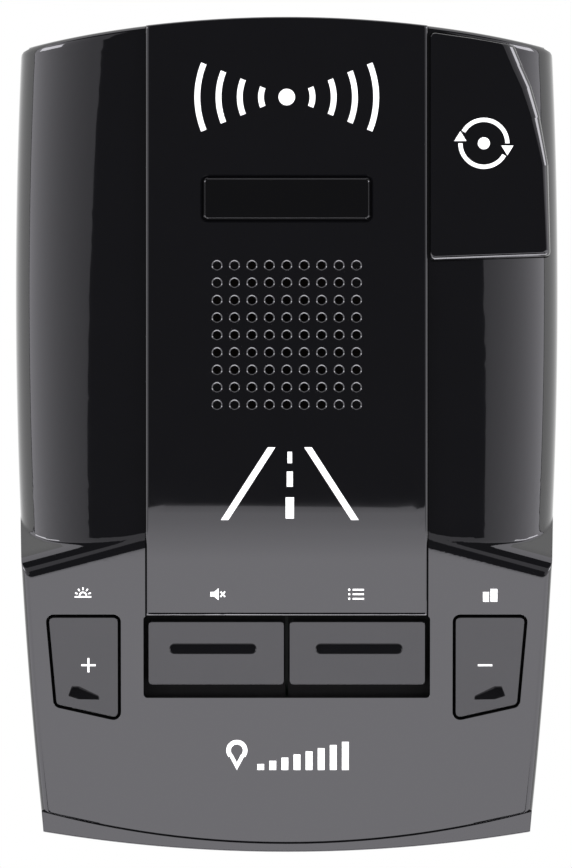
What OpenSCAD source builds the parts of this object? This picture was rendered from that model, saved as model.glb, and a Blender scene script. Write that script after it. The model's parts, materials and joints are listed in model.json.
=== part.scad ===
// Dashboard radar detector, with its driver's side towards -Y and its windscreen side towards +Y.
// It stands on its rubber feet at Z = 0, and the origin is under the middle of its outline.

/* [Overall] */
// Width at the widest place
body_w = 72; // [60:1:90]
// Length from the display face to the windscreen edge
body_l = 110.4; // [92:0.2:134]
// Height from the feet to the top of the centre panel
body_h = 31; // [27:0.5:38]
// Wall thickness of both shells
wall = 2; // [1.4:0.1:2.4]
// Height of the joint between the lower housing and the top cover
parting_z = 13; // [12:0.5:15]

/* [Outline] */
// Plan radius of the two long sides
side_r = 680; // [400:10:1000]
// Plan radius of the windscreen edge
rear_r = 153.7; // [120:0.1:220]
// Plan radius of the display face
front_r = 195; // [150:1:260]
// Distance of the widest place from the windscreen edge
widest_from_rear = 36.2; // [30:0.2:45]
// Rounding of the lower edge
bottom_round = 5; // [2:0.5:6]

/* [Deck] */
// Downward slope of the key deck towards the driver, in degrees
deck_slope = 7; // [4:0.5:10]
// Radius of the bend from the level top to the sloping deck
deck_bend_r = 140; // [80:5:200]
// Distance of the start of that bend from the display face
bend_from_front = 50.2; // [46:0.2:56]

/* [Wings] */
// Step from the centre panel down to the wings
wing_step = 1; // [0.4:0.1:1.6]
// Fall of the wings from the panel to the outline
wing_fall = 8; // [4:0.5:9]
// Distance of the ramp's upper edge from the display face, at the centre panel
ramp_from_front = 42; // [41:0.1:46]
// Length of the ramp for each millimetre that it falls
ramp_run = 0.8; // [0.5:0.1:1.4]
// Turn of the ramp in plan, which brings its outer end nearer to the driver, in degrees
ramp_turn = 16; // [0:1:20]

/* [Centre panel] */
// Width of the centre panel
panel_w = 37.2; // [34:0.2:42]
// Thickness of the centre panel where the top is level
panel_t = 2.6; // [2.2:0.1:3.2]
// Gap all round the centre panel
panel_gap = 0.1; // [0.05:0.05:0.3]
// Pitch of the speaker holes
hole_pitch = 2.3; // [2:0.1:2.6]
// Number of speaker holes each way
hole_count = 9; // [5:2:9]
// Diameter of a speaker hole
hole_d = 0.9; // [0.6:0.1:1.2]
// Distance of the speaker's centre from the windscreen edge
speaker_from_rear = 42; // [40:0.5:46]
// Width of the indicator lens
lens_w = 22.4; // [16:0.2:26]
// Length of the indicator lens along Y
lens_l = 5.9; // [4:0.1:7]
// Distance of the indicator lens's centre from the windscreen edge
lens_from_rear = 24; // [23.5:0.1:25]

/* [Keys] */
// Distance of the middle keys' well from the display face
well_from_front = 20.5; // [19:0.1:22]
// Length of that well along the deck
well_l = 10.9; // [9:0.1:13]
// Width of each middle key
middle_key_w = 17.9; // [15:0.1:20]
// Gap between the two middle keys
key_split = 0.74; // [0.4:0.02:1]
// Strip of the well that shows behind the middle keys
well_back_strip = 0.75; // [0.4:0.05:1.2]
// Strip of the well that shows in front of the middle keys
well_front_strip = 1.75; // [0.6:0.05:2.5]
// Gap round a side key
key_gap = 0.4; // [0.3:0.05:0.6]
// Travel of every key
key_travel = 0.5; // [0.3:0.05:0.6]
// Clearance between a key's lip and the ceiling that holds it back
lip_gap = 0.3; // [0.2:0.05:0.5]
// Thickness of the lip under a key cap
lip_t = 0.8; // [0.6:0.1:1]
// Reach of the lip beyond its opening
lip_reach = 0.5; // [0.3:0.1:0.7]

/* [Laser pod] */
// Distance of the pod's driver-side end from the windscreen edge
pod_l = 32.2; // [28:0.2:36]
// Wall of the pod hood
pod_wall = 1.3; // [1:0.1:1.6]
// Height of the pod hood above its seat
pod_h = 6.6; // [5.5:0.1:7.5]

/* [Display] */
// Thickness of the display bezel at the middle
bezel_t = 1.2; // [1:0.05:1.6]
// Plan radius of the seam between the top cover and the display bezel
seam_r = 125; // [110:1:150]
// Width of the display window
window_w = 45; // [36:0.5:48]
// Height of the display window
window_h = 12; // [9:0.5:13]
// Height of the display window's centre
window_z = 14; // [12.5:0.5:15]

/* [Sockets] */
// Bore of the power jack
jack_bore_d = 3.6; // [2.6:0.1:3.8]
// Depth of the power jack's bore
jack_depth = 12; // [8:0.5:14]
// Distance of both side sockets from the windscreen edge
sockets_from_rear = 25.2; // [24:0.2:30]
// Width of the windscreen bracket's slot
slot_w = 22; // [16:0.5:26]
// Clear height of the windscreen bracket's slot
slot_h = 2.4; // [1.8:0.1:2.6]

/* [Boards] */
// Thickness of the main board
board_t = 1.6; // [1:0.2:2]
// Height of the main board's lower face
board_z = 14.4; // [13.6:0.1:16]
// Diameter of the speaker
speaker_d = 27; // [24:0.5:28]
// Height of the speaker from its magnet to its gasket
speaker_h = 7.8; // [7:0.1:8.4]

/* [Fasteners and feet] */
// Diameter of the housing screws' shanks
screw_d = 1.8; // [1.4:0.1:2.2]
// Diameter of a rubber foot
foot_d = 8; // [6:0.5:10]
// Height of a rubber foot below the housing
foot_stand = 0.8; // [0.4:0.1:1.2]

/* [Hidden] */

// Facets of the long plan arcs, of ordinary round parts and of small ones
arc_fn = 720;
round_fn = 64;
small_fn = 24;
// Overrun of a cut past the face that it opens
past = 1;

half_w = body_w / 2;
front_y = -body_l / 2;
rear_y = body_l / 2;
side_y = rear_y - widest_from_rear;
side_x = half_w - side_r;
housing_z = foot_stand;

// Half width of the outline at a distance along Y
function half_at(y) = sqrt(side_r * side_r - pow(y - side_y, 2)) + side_x;

// Top line: level, then a bend, then the straight slope of the deck
bend_y = front_y + bend_from_front;
slope_y = bend_y - deck_bend_r * sin(deck_slope);
slope_z = body_h - deck_bend_r * (1 - cos(deck_slope));
bend_steps = 7;
// Height of the straight slope at a distance along Y
function deck_z(y) = slope_z + (y - slope_y) * tan(deck_slope);

// Distance along the sloping deck, from where the slope starts, of a place along Y
function along(y) = (y - slope_y) / cos(deck_slope);

// Wings: the seam's radius from the side's centre, and the fall of the surface between seam and outline
seam_x = panel_w / 2;
seam_arc = seam_x - side_x;
wing_span = side_r - seam_arc;
wing_power = 2.6;
wing_steps = 12;
function wing_drop(t) = wing_step + wing_fall * (1 - sqrt(max(0, 1 - pow(t, wing_power))));
ramp_y = front_y + ramp_from_front;

channel_z = body_h - panel_t;
ceiling_z = channel_z - wall;
panel_front = front_y + well_from_front + well_l * cos(deck_slope);

// Windscreen-side places
speaker_y = rear_y - speaker_from_rear;
lens_y = rear_y - lens_from_rear;
sockets_y = rear_y - sockets_from_rear;
lens_round = 0.8;
lens_sink = 0.1;
guide_half_x = lens_w / 2 - 0.8;
guide_half_y = lens_l / 2 - 0.85;
guide_gap = 0.1;
grille_hole_d = speaker_d - 5;

// Laser pod, on a flat seat sunk in the right wing
pod_seat = body_h - pod_h;
pod_front = rear_y - pod_l;
pod_gap = 0.1;
pod_round = 0.6;
pod_x = seam_x + 0.3;
pod_plan = [
    [pod_x, pod_front], [pod_x, rear_y - 1.5], [half_w - 6, rear_y - 2.6],
    [half_w - 5, pod_front + 26], [half_w - 3.7, pod_front + 23], [half_w - 2.6, pod_front + 19],
    [half_w - 1.5, pod_front + 12.6], [half_w - 1.2, pod_front + 0.6]
];
pod_rear_inset = 0.8;
pod_cable_x = half_w - 8;
pod_lens_t = 0.9;
pod_lens_h = 3.4;

// Key well and keys, in the plan of the sloping deck, where Y counts from the start of the slope
well_y0 = along(front_y + well_from_front);
well_y1 = well_y0 + well_l;
middle_y1 = well_y1 - well_back_strip;
middle_y0 = well_y0 + well_front_strip;
well_half = middle_key_w + key_split / 2 + 0.65;
well_open = rect(-well_half, well_y0, well_half, well_y1);
middle_x = key_split / 2 + middle_key_w / 2;
middle_y = (middle_y0 + middle_y1) / 2;
// Side key openings: the long inner edge, the shorter outer edge and the back edge
side_in = well_half + 3;
side_back = well_y1 + 0.2;
side_front_in = side_back - 14.3;
side_front_out = side_back - 12.3;
side_margin = wall + lip_reach + 0.3;
side_out_back = half_at(slope_y + side_back) - side_margin;
side_out_front = half_at(slope_y + side_front_out) - side_margin;
side_open = [
    [side_in, side_back], [side_out_back, side_back], [side_out_front, side_front_out],
    [side_in, side_front_in]
];
side_x_mid = (side_in + side_out_front) / 2;
side_y_mid = (side_back + side_front_out) / 2;
key_round = 1;
// Heights below the deck's surface
lip_top = -wall - lip_gap;
lip_bottom = lip_top - lip_t;
stem_half = 1.5;
stem_bottom = lip_bottom - 1.9;
plunger_r = 0.9;
plunger_bottom = stem_bottom - 1.4;
switch_top = stem_bottom - key_travel - 0.25;
switch_w = 4.5;
switch_h = 2;
switch_pocket_r = plunger_r + 0.25;
key_board_top = switch_top - switch_h;
key_board_t = 1.2;
post_r = 1.8;
pilot_r = 0.7;
pilot_depth = 3.6;
key_post_x = 13;
key_post_ys = [well_y0 - lip_reach - 0.8 - post_r, well_y1 + lip_reach + 0.7 + post_r];
key_board_back = key_post_ys[1] + post_r;
key_board_front = key_post_ys[0] - post_r;
key_board_half = half_w - 6;

// Display, stacked behind the bezel
seam_y = front_y + bezel_t;
bezel_lap = 3;
bezel_lap_gap = 0.15;
window_inset = 0.3;
window_t = 0.8;
glass_half = window_w / 2 + 1.5;
glass_y = seam_y + seam_r - sqrt(seam_r * seam_r - glass_half * glass_half) + 0.2;
glass_t = 2;
display_board_y = glass_y + glass_t;
display_board_t = 1.2;
ribbon_w = 16;
ribbon_t = 0.3;

// Main board and what stands on it
board_top = board_z + board_t;
board_half = half_w - 12;
board_front = front_y + 17.2;
board_rear = rear_y - 5.2;
board_screw_x = board_half - 3;
board_screw_front = board_front + 4;
board_screw_rear = board_rear - 4;
board_screw_r = 0.8;
board_boss_r = 2.5;

// Housing screws
screw_r = screw_d / 2;
screw_rear_x = half_w - 8;
screw_rear_y = rear_y - 12.2;
screw_front_x = half_w - 11;
screw_front_y = front_y + 12.2;
screw_places = [
    [screw_rear_x, screw_rear_y], [-screw_rear_x, screw_rear_y],
    [screw_front_x, screw_front_y], [-screw_front_x, screw_front_y]
];
board_screw_places = [
    [board_screw_x, board_screw_rear], [-board_screw_x, board_screw_rear],
    [board_screw_x, board_screw_front], [-board_screw_x, board_screw_front]
];
head_r = screw_r + 1.1;
head_t = 1.4;
head_z = housing_z + 3;
head_gap = 0.2;
boss_r = head_r + head_gap + 1.2;
top_boss_r = screw_r + 2;
screw_bite = 7;

floor_z = housing_z + wall;
foot_sink = 1;
foot_places = [for (x = [-1, 1], y = [-1, 1]) [x * (half_w - 12), y * (body_l / 2 - 22)]];
label_w = 36;
label_l = 30;
label_t = 0.2;

// Windscreen bracket's slot, in a tunnel inside the top cover's windscreen wall
slot_z = ceiling_z - wall - slot_h;
slot_depth = 5.6;
slot_wall = 1.1;
catch_t = 0.4;

// Power jack in the left wall
jack_z = 8.6;
jack_r = 3;
jack_hole_gap = 0.1;
jack_mouth_x = -half_at(sockets_y) + 0.2;
jack_body_half = 4;
jack_body_x = -half_w + wall + 0.6;

// USB socket in the right wall
usb_w = 7.7;
usb_h = 3.8;
usb_z = 8.4;
usb_gap = 0.15;
usb_mouth_x = half_at(sockets_y) - 0.5;
usb_wall = 0.4;

// ---- Shared shapes ----

// Corner b of a polygon through a, b and c as an arc of radius r
function round_corner(a, b, c, r, n = 6) =
    let (
        u = (a - b) / norm(a - b),
        v = (c - b) / norm(c - b),
        half = acos(u * v) / 2,
        middle = b + (u + v) / norm(u + v) * r / sin(half),
        start = b + u * r / tan(half) - middle,
        finish = b + v * r / tan(half) - middle,
        a0 = atan2(start.y, start.x),
        turn = atan2(finish.y, finish.x) - a0,
        sweep = turn > 180 ? turn - 360 : turn < -180 ? turn + 360 : turn
    )
    [for (i = [0 : n]) middle + r * [cos(a0 + sweep * i / n), sin(a0 + sweep * i / n)]];

// A polygon with every corner rounded
function rounded(p, r) =
    let (n = len(p))
    [for (i = [0 : n - 1]) each round_corner(p[(i + n - 1) % n], p[i], p[(i + 1) % n], r)];

function unit(v) = v / norm(v);

// A clockwise polygon moved inwards by d (outwards where d is negative)
function inset(p, d) =
    [for (i = [0 : len(p) - 1])
        let (
            u = unit(p[i] - p[(i + len(p) - 1) % len(p)]),
            v = unit(p[(i + 1) % len(p)] - p[i]),
            m = [u.y, -u.x],
            n = [v.y, -v.x]
        )
        p[i] + d * (m + n) / (1 + m * n)];

function rect(x0, y0, x1, y1) = [[x0, y1], [x1, y1], [x1, y0], [x0, y0]];
function swap_side(p) = [for (i = [len(p) - 1 : -1 : 0]) [-p[i].x, p[i].y]];

module box(x0, y0, z0, x1, y1, z1) {
    translate([x0, y0, z0]) cube([x1 - x0, y1 - y0, z1 - z0]);
}

module plate(p, z0, z1) {
    translate([0, 0, z0]) linear_extrude(z1 - z0) polygon(p);
}

module rod(x, y, z0, z1, r, fn = small_fn) {
    translate([x, y, z0]) cylinder(h = z1 - z0, r = r, $fn = fn);
}

// Draws its children in the frame of the sloping deck: Z = 0 is the deck's surface
module on_deck() {
    translate([0, slope_y, slope_z]) rotate([deck_slope, 0, 0]) children();
}

// Region between the two long sides, moved in by d
module sides(d) {
    intersection() {
        translate([side_x, side_y]) circle(side_r - d, $fn = arc_fn);
        translate([-side_x, side_y]) circle(side_r - d, $fn = arc_fn);
    }
}

module rear_disc(d) {
    translate([0, rear_y - rear_r]) circle(rear_r - d, $fn = arc_fn);
}

module front_disc(d) {
    translate([0, front_y + front_r]) circle(front_r - d, $fn = arc_fn);
}

// Disc that ends at the seam of the bezel, or d nearer the windscreen
module seam_disc(d) {
    translate([0, seam_y + seam_r]) circle(seam_r - d, $fn = arc_fn);
}

// Plan of the whole object, moved in by d
module outline(d = 0) {
    intersection() {
        sides(d);
        rear_disc(d);
        front_disc(d);
    }
}

// Plan of both housings, which end at the bezel's seam
module housing_plan() {
    intersection() {
        sides(0);
        rear_disc(0);
        seam_disc(0);
    }
}

// Plan of their hollow, open towards the bezel
module hollow_plan(d = wall) {
    intersection() {
        sides(d);
        rear_disc(d);
        front_disc(-past);
    }
}

// Everything under the top line, lowered by d
module under_top_line(d = 0) {
    bend = [for (i = [0 : bend_steps]) let (a = deck_slope * i / bend_steps)
        [bend_y - deck_bend_r * sin(a), body_h - deck_bend_r * (1 - cos(a)) - d]];
    end_y = front_y - past;
    rotate([90, 0, 90]) translate([0, 0, -half_w - past]) linear_extrude(body_w + 2 * past)
        polygon(concat([[rear_y + past, -past], [rear_y + past, body_h - d]], bend,
            [[end_y, deck_z(end_y) - d], [end_y, -past]]));
}

// What is cut away over the right wing. Moved in by s and down by d it shapes the hollow below.
module wing_cut_right(s = 0, d = 0) {
    reach = side_r + 4;
    high = wall + 2 * past;
    low = wing_step + wing_fall + past;
    points = [for (i = [0 : wing_steps]) let (t = sin(90 * i / wing_steps))
        [seam_arc - s + wing_span * t, body_h - d - wing_drop(t)]];
    intersection() {
        translate([side_x, side_y, 0]) rotate_extrude($fn = arc_fn)
            polygon(concat([[seam_arc - s, body_h + past]], points,
                [[reach, body_h - d - wing_step - wing_fall], [reach, body_h + past]]));
        translate([seam_x, ramp_y - s, body_h - d]) rotate([0, 0, -ramp_turn]) rotate([90, 0, 90])
            translate([0, 0, -half_w / 2]) linear_extrude(body_w)
                polygon([
                    [-ramp_run * high, high], [ramp_run * low, -low], [body_l, -low], [body_l, high]
                ]);
    }
}

module wing_cuts(s = 0, d = 0) {
    wing_cut_right(s, d);
    mirror([1, 0, 0]) wing_cut_right(s, d);
}

// Ring that rounds the lower edge along one arc of the outline
module edge_ring(x, y, r, z, e) {
    translate([x, y, z]) rotate_extrude($fn = arc_fn) difference() {
        translate([r - e, -past]) square([e + 2 * past, e + past]);
        translate([r - e, e]) circle(e, $fn = round_fn);
    }
}

// Ring cuts along every arc for a shape moved in by d whose underside is at z
module edge_rings(d, z, e) {
    edge_ring(side_x, side_y, side_r - d, z, e);
    edge_ring(-side_x, side_y, side_r - d, z, e);
    edge_ring(0, rear_y - rear_r, rear_r - d, z, e);
}

// ---- Shells ----

module housing_screw_hole() {
    for (p = screw_places) {
        rod(p.x, p.y, housing_z - past, parting_z + past, screw_r + head_gap);
        rod(p.x, p.y, housing_z - past, head_z + head_t, head_r + head_gap, round_fn);
    }
}

module lower_housing() {
    color([0.05, 0.05, 0.055]) difference() {
        union() {
            difference() {
                translate([0, 0, housing_z]) linear_extrude(parting_z - housing_z) housing_plan();
                edge_rings(0, housing_z, bottom_round);
                difference() {
                    translate([0, 0, floor_z]) linear_extrude(parting_z) hollow_plan();
                    edge_rings(wall, floor_z, bottom_round - wall / 2);
                }
            }
            for (p = board_screw_places) rod(p.x, p.y, floor_z - 0.5, board_z, board_boss_r, round_fn);
            for (p = screw_places) rod(p.x, p.y, floor_z - 0.5, parting_z, boss_r, round_fn);
        }
        housing_screw_hole();
        for (p = board_screw_places) rod(p.x, p.y, board_z - screw_bite, board_z + past, board_screw_r);
        for (p = foot_places) rod(p.x, p.y, housing_z - past, housing_z + foot_sink, foot_d / 2, round_fn);
        box(-label_w / 2, -label_l / 2, housing_z - past, label_w / 2, label_l / 2, housing_z + label_t);
        translate([-half_w - past, sockets_y, jack_z]) rotate([0, 90, 0])
            cylinder(h = wall + 3, r = jack_r + jack_hole_gap, $fn = round_fn);
        box(half_w - wall - 2, sockets_y - usb_w / 2 - usb_gap, usb_z - usb_gap,
            half_w + past, sockets_y + usb_w / 2 + usb_gap, usb_z + usb_h + usb_gap);
    }
}

// Plan of the pod's seat, or of the pod itself
module pod_outline(d) {
    intersection() {
        polygon(rounded(inset(pod_plan, d), pod_round));
        rear_disc(pod_rear_inset + d);
    }
}

// Openings of the keys, cut square to the deck
module key_openings() {
    reach = lip_reach + 0.3;
    on_deck() {
        plate(rounded(well_open, key_round), lip_bottom - 2, past);
        plate(rounded(side_open, key_round), lip_bottom - 2, past);
        plate(rounded(swap_side(side_open), key_round), lip_bottom - 2, past);
        plate(inset(well_open, -reach), lip_bottom - 2, -wall);
    }
}

module top_cover() {
    color([0.04, 0.04, 0.045]) difference() {
        union() {
            difference() {
                intersection() {
                    translate([0, 0, parting_z]) linear_extrude(body_h) housing_plan();
                    under_top_line();
                }
                wing_cuts();
                top_hollow();
            }
            // Bosses of the housing screws, which end inside the ceiling
            intersection() {
                for (p = screw_places) rod(p.x, p.y, parting_z, body_h, top_boss_r, round_fn);
                difference() {
                    under_top_line(wall / 2);
                    wing_cuts(wall / 2, wall / 2);
                }
            }
            // Posts of the key board
            on_deck() for (x = [-1, 1], y = key_post_ys)
                rod(x * key_post_x, y, key_board_top, -wall / 2, post_r, round_fn);
            bracket_tunnel();
        }
        // Channel and openings of the centre panel
        box(-seam_x - panel_gap, panel_front - panel_gap - past, channel_z, seam_x + panel_gap,
            rear_y + past, body_h + past);
        rod(0, speaker_y, ceiling_z - past, channel_z + past, grille_hole_d / 2, round_fn);
        box(-guide_half_x - guide_gap, lens_y - guide_half_y - guide_gap, ceiling_z - past,
            guide_half_x + guide_gap, lens_y + guide_half_y + guide_gap, channel_z + past);
        // Sunken seat of the laser pod, with its cable opening
        translate([0, 0, pod_seat]) linear_extrude(body_h) pod_outline(-pod_gap);
        box(pod_cable_x - 3, pod_front + 6, pod_seat - wall - past, pod_cable_x + 3, pod_front + 10,
            pod_seat + past);
        key_openings();
        // Bracket slot
        box(-slot_w / 2, rear_y - slot_depth, slot_z - catch_t, slot_w / 2, rear_y + past, slot_z + slot_h);
        for (p = screw_places) rod(p.x, p.y, parting_z - past, parting_z + screw_bite, screw_r);
        on_deck() for (x = [-1, 1], y = key_post_ys)
            rod(x * key_post_x, y, key_board_top - past, key_board_top + pilot_depth, pilot_r);
    }
}

// Hollow of the top cover, less what carries the panel and the pod
module top_hollow() {
    difference() {
        intersection() {
            translate([0, 0, parting_z - past]) linear_extrude(body_h) hollow_plan();
            under_top_line(wall);
        }
        wing_cuts(wall * 0.8, wall);
        box(-seam_x - wall, panel_front - wall, ceiling_z, seam_x + wall, rear_y, body_h);
        intersection() {
            translate([0, 0, pod_seat - wall]) linear_extrude(body_h)
                polygon(inset(pod_plan, -pod_gap - wall));
            linear_extrude(body_h) hollow_plan(0);
        }
    }
}

// Tunnel in the windscreen wall that takes the bracket's tongue
module bracket_tunnel() {
    intersection() {
        box(-slot_w / 2 - slot_wall, rear_y - slot_depth - slot_wall, slot_z - catch_t - slot_wall,
            slot_w / 2 + slot_wall, rear_y, ceiling_z + wall / 2);
        linear_extrude(body_h) outline(wall / 2);
    }
}

module centre_panel() {
    middle = (hole_count - 1) / 2;
    color([0.015, 0.015, 0.018]) difference() {
        intersection() {
            box(-seam_x, panel_front, channel_z, seam_x, rear_y, body_h);
            translate([0, 0, channel_z]) linear_extrude(panel_t) rear_disc(0);
            under_top_line();
        }
        plate(rounded(lens_plan(), lens_round), channel_z - past, body_h + past);
        for (i = [-middle : middle], j = [-middle : middle])
            rod(i * hole_pitch, speaker_y + j * hole_pitch, channel_z - past, body_h + past, hole_d / 2);
    }
}

function lens_plan() = rect(-lens_w / 2, lens_y - lens_l / 2, lens_w / 2, lens_y + lens_l / 2);

module indicator_lens() {
    color([0.02, 0.02, 0.03, 0.9]) plate(rounded(lens_plan(), lens_round), channel_z, body_h - lens_sink);
}

// Boxes through the pod's two end walls, where its lenses sit
module pod_front_window() {
    box(pod_x + 2.2, rear_y - 6, pod_seat + 1, half_w - 8, rear_y, pod_seat + 1 + pod_lens_h);
}

module pod_rear_window() {
    low = pod_seat + 1.4;
    box(pod_x + 1.6, pod_front - past, low, half_w - 3.2, pod_front + 3, low + pod_lens_h);
}

module pod_cover() {
    color([0.03, 0.03, 0.035]) difference() {
        translate([0, 0, pod_seat]) linear_extrude(pod_h) pod_outline(0);
        translate([0, 0, pod_seat - past]) linear_extrude(pod_h - pod_wall + past) pod_outline(pod_wall);
        pod_front_window();
        pod_rear_window();
    }
}

// Lens plate of the pod: the outer part of the wall that stood in a window
module pod_lens_skin() {
    translate([0, 0, pod_seat]) linear_extrude(pod_h) difference() {
        pod_outline(0.1);
        pod_outline(0.1 + pod_lens_t);
    }
}

module pod_rear_lens() {
    color([0.12, 0.02, 0.03, 0.9]) intersection() {
        pod_lens_skin();
        pod_rear_window();
    }
}

module pod_front_lens() {
    color([0.12, 0.02, 0.03, 0.9]) intersection() {
        pod_lens_skin();
        pod_front_window();
    }
}

module window_block(y0, y1) {
    box(-window_w / 2, y0, window_z - window_h / 2, window_w / 2, y1, window_z + window_h / 2);
}

// Hollow behind the bezel, moved in by d
module front_hollow(d) {
    difference() {
        intersection() {
            translate([0, 0, floor_z + d]) linear_extrude(body_h) hollow_plan(wall + d);
            under_top_line(wall + d);
        }
        edge_rings(wall + d, floor_z + d, bottom_round - wall / 2);
    }
}

module display_bezel() {
    tongue_t = 1.2;
    color([0.03, 0.03, 0.035]) difference() {
        union() {
            difference() {
                intersection() {
                    translate([0, 0, housing_z]) linear_extrude(body_h) difference() {
                        outline();
                        seam_disc(0);
                    }
                    under_top_line();
                }
                edge_rings(0, housing_z, bottom_round);
                edge_ring(0, front_y + front_r, front_r, housing_z, bezel_t * 0.8);
            }
            intersection() {
                difference() {
                    front_hollow(bezel_lap_gap);
                    front_hollow(bezel_lap_gap + tongue_t);
                }
                translate([0, 0, housing_z]) linear_extrude(body_h) difference() {
                    seam_disc(-bezel_t / 4);
                    seam_disc(bezel_lap);
                }
            }
        }
        window_block(front_y - past, front_y + bezel_lap + bezel_t + past);
    }
}

module display_window() {
    color([0.05, 0.05, 0.06, 0.7]) intersection() {
        window_block(front_y - past, front_y + bezel_lap + bezel_t);
        linear_extrude(body_h) difference() {
            front_disc(window_inset);
            front_disc(window_inset + window_t);
        }
    }
}

module display_module() {
    color([0.05, 0.09, 0.08]) box(-glass_half, glass_y, window_z - window_h / 2 - 1,
        glass_half, glass_y + glass_t, window_z + window_h / 2 + 1);
}

module display_board() {
    color([0.02, 0.25, 0.12]) box(-window_w / 2 - 5, display_board_y, window_z - window_h / 2 - 2.5,
        window_w / 2 + 5, display_board_y + display_board_t, window_z + window_h / 2 + 2);
}

// Flat flexible lead from the display board's back to the main board's front edge
module display_ribbon() {
    back = display_board_y + display_board_t;
    z = board_top;
    route = [
        [back, z + 3], [back + 2.5, z + 3],
        [board_front + 1, z + ribbon_t], [board_front + 6, z + ribbon_t]
    ];
    under = [for (i = [len(route) - 1 : -1 : 0]) [route[i].x, route[i].y - ribbon_t]];
    color([0.75, 0.55, 0.25]) rotate([90, 0, 90]) translate([0, 0, -ribbon_w / 2])
        linear_extrude(ribbon_w) polygon(concat(route, under));
}

// ---- Keys: a cap, a lip that holds it in, and a stem ----

module key(cap, lip, x, y) {
    color([0.05, 0.05, 0.055]) on_deck() {
        plate(cap, lip_top, 0);
        plate(lip, lip_bottom, lip_top);
        box(x - stem_half, y - stem_half, stem_bottom, x + stem_half, y + stem_half, lip_bottom);
    }
}

// Middle key on the +X side. Its lip fills the well's floor up to the split.
middle_cap = rounded(rect(key_split / 2, middle_y0, key_split / 2 + middle_key_w, middle_y1), 0.5);
middle_lip = rect(key_split / 4, well_y0 - lip_reach, well_half + lip_reach, well_y1 + lip_reach);
side_cap = rounded(inset(side_open, key_gap), key_round - key_gap);
side_lip = inset(side_open, -lip_reach);

module prog_button() {
    key(middle_cap, middle_lip, middle_x, middle_y);
}

module mute_button() {
    key(swap_side(middle_cap), swap_side(middle_lip), -middle_x, middle_y);
}

module minus_button() {
    key(side_cap, side_lip, side_x_mid, side_y_mid);
}

module plus_button() {
    key(swap_side(side_cap), swap_side(side_lip), -side_x_mid, side_y_mid);
}

module plunger(x, y) {
    color([0.85, 0.85, 0.82]) on_deck() rod(x, y, plunger_bottom, stem_bottom, plunger_r);
}

module mute_plunger() {
    plunger(-middle_x, middle_y);
}

module prog_plunger() {
    plunger(middle_x, middle_y);
}

module plus_plunger() {
    plunger(-side_x_mid, side_y_mid);
}

module minus_plunger() {
    plunger(side_x_mid, side_y_mid);
}

module key_board() {
    corner = 10;
    plan = [
        [-key_board_half, key_board_back], [key_board_half, key_board_back],
        [key_board_half, key_board_front + corner / 2], [key_board_half - corner, key_board_front],
        [corner - key_board_half, key_board_front], [-key_board_half, key_board_front + corner / 2]
    ];
    color([0.02, 0.25, 0.12]) on_deck() difference() {
        plate(plan, key_board_top - key_board_t, key_board_top);
        for (x = [-1, 1], y = key_post_ys)
            rod(x * key_post_x, y, key_board_top - 2 * key_board_t, key_board_top + past, pilot_r + 0.1);
    }
}

module tact_switches() {
    half = switch_w / 2;
    spots = [
        [-middle_x, middle_y], [middle_x, middle_y],
        [-side_x_mid, side_y_mid], [side_x_mid, side_y_mid]
    ];
    color([0.1, 0.1, 0.1]) on_deck() for (p = spots) difference() {
        box(p.x - half, p.y - half, key_board_top, p.x + half, p.y + half, switch_top);
        rod(p.x, p.y, switch_top - switch_h + 0.3, switch_top + past, switch_pocket_r);
    }
}

// ---- Boards and what they carry ----

module main_board() {
    color([0.02, 0.25, 0.12]) difference() {
        box(-board_half, board_front, board_z, board_half, board_rear, board_top);
        for (p = board_screw_places) rod(p.x, p.y, board_z - past, board_top + past, board_screw_r + 0.1);
    }
}

horn_front = rear_y - 43.2;
horn_mouth = rear_y - 5.2;
horn_throat_l = 10;

// Tapering block: flat on top at z1, widening and deepening towards the windscreen
module horn_block(throat_half, mouth_half, throat_z, mouth_z, z1, y0, y1) {
    throat_y = horn_front + horn_throat_l;
    intersection() {
        plate([[-throat_half, y0], [-throat_half, throat_y], [-mouth_half, y1],
            [mouth_half, y1], [throat_half, throat_y], [throat_half, y0]], 0, body_h);
        rotate([90, 0, 90]) translate([0, 0, -mouth_half - past]) linear_extrude(2 * (mouth_half + past))
            polygon([[y0, z1], [y1, z1], [y1, mouth_z], [throat_y, throat_z], [y0, throat_z]]);
    }
}

module horn_antenna() {
    t = 0.8;
    color([0.7, 0.7, 0.72]) difference() {
        horn_block(6, 14, board_z - 6.4, floor_z + 0.8, board_z, horn_front, horn_mouth);
        horn_block(6 - t, 14 - t, board_z - 6.4 + t, floor_z + 0.8 + t, board_z - t, horn_front + t,
            horn_mouth + past);
    }
}

// Thin can over a circuit, open on the side that is soldered down
module can(x0, y0, x1, y1, z0, z1, open_up = false) {
    t = 0.4;
    color([0.78, 0.78, 0.8]) difference() {
        box(x0, y0, z0, x1, y1, z1);
        box(x0 + t, y0 + t, open_up ? z0 + t : z0 - past, x1 - t, y1 - t, open_up ? z1 + past : z1 - t);
    }
}

module mixer_shield() {
    can(-10, horn_front - 10, 10, horn_front, board_z - 4, board_z, true);
}

rf_top = board_top + 2.6;
gps_board_z = rf_top + 1;
gps_board_t = 1;
gps_y0 = board_rear - 15;

module rf_shield() {
    can(-13, gps_y0, 13, board_rear - 3.5, board_top, rf_top);
}

module gps_board() {
    color([0.02, 0.2, 0.3]) {
        box(-8, gps_y0, gps_board_z, 8, gps_y0 + 13, gps_board_z + gps_board_t);
        for (x = [-7, 7], y = [gps_y0 + 1.5, gps_y0 + 10]) rod(x, y, rf_top, gps_board_z, 0.6);
    }
}

module gps_antenna() {
    z = gps_board_z + gps_board_t;
    color([0.75, 0.65, 0.5]) {
        box(-6, gps_y0 + 0.4, z, 6, gps_y0 + 12.4, z + 3.6);
        rod(1, gps_y0 + 6, z + 3.6, z + 3.9, 0.7);
    }
}

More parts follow.
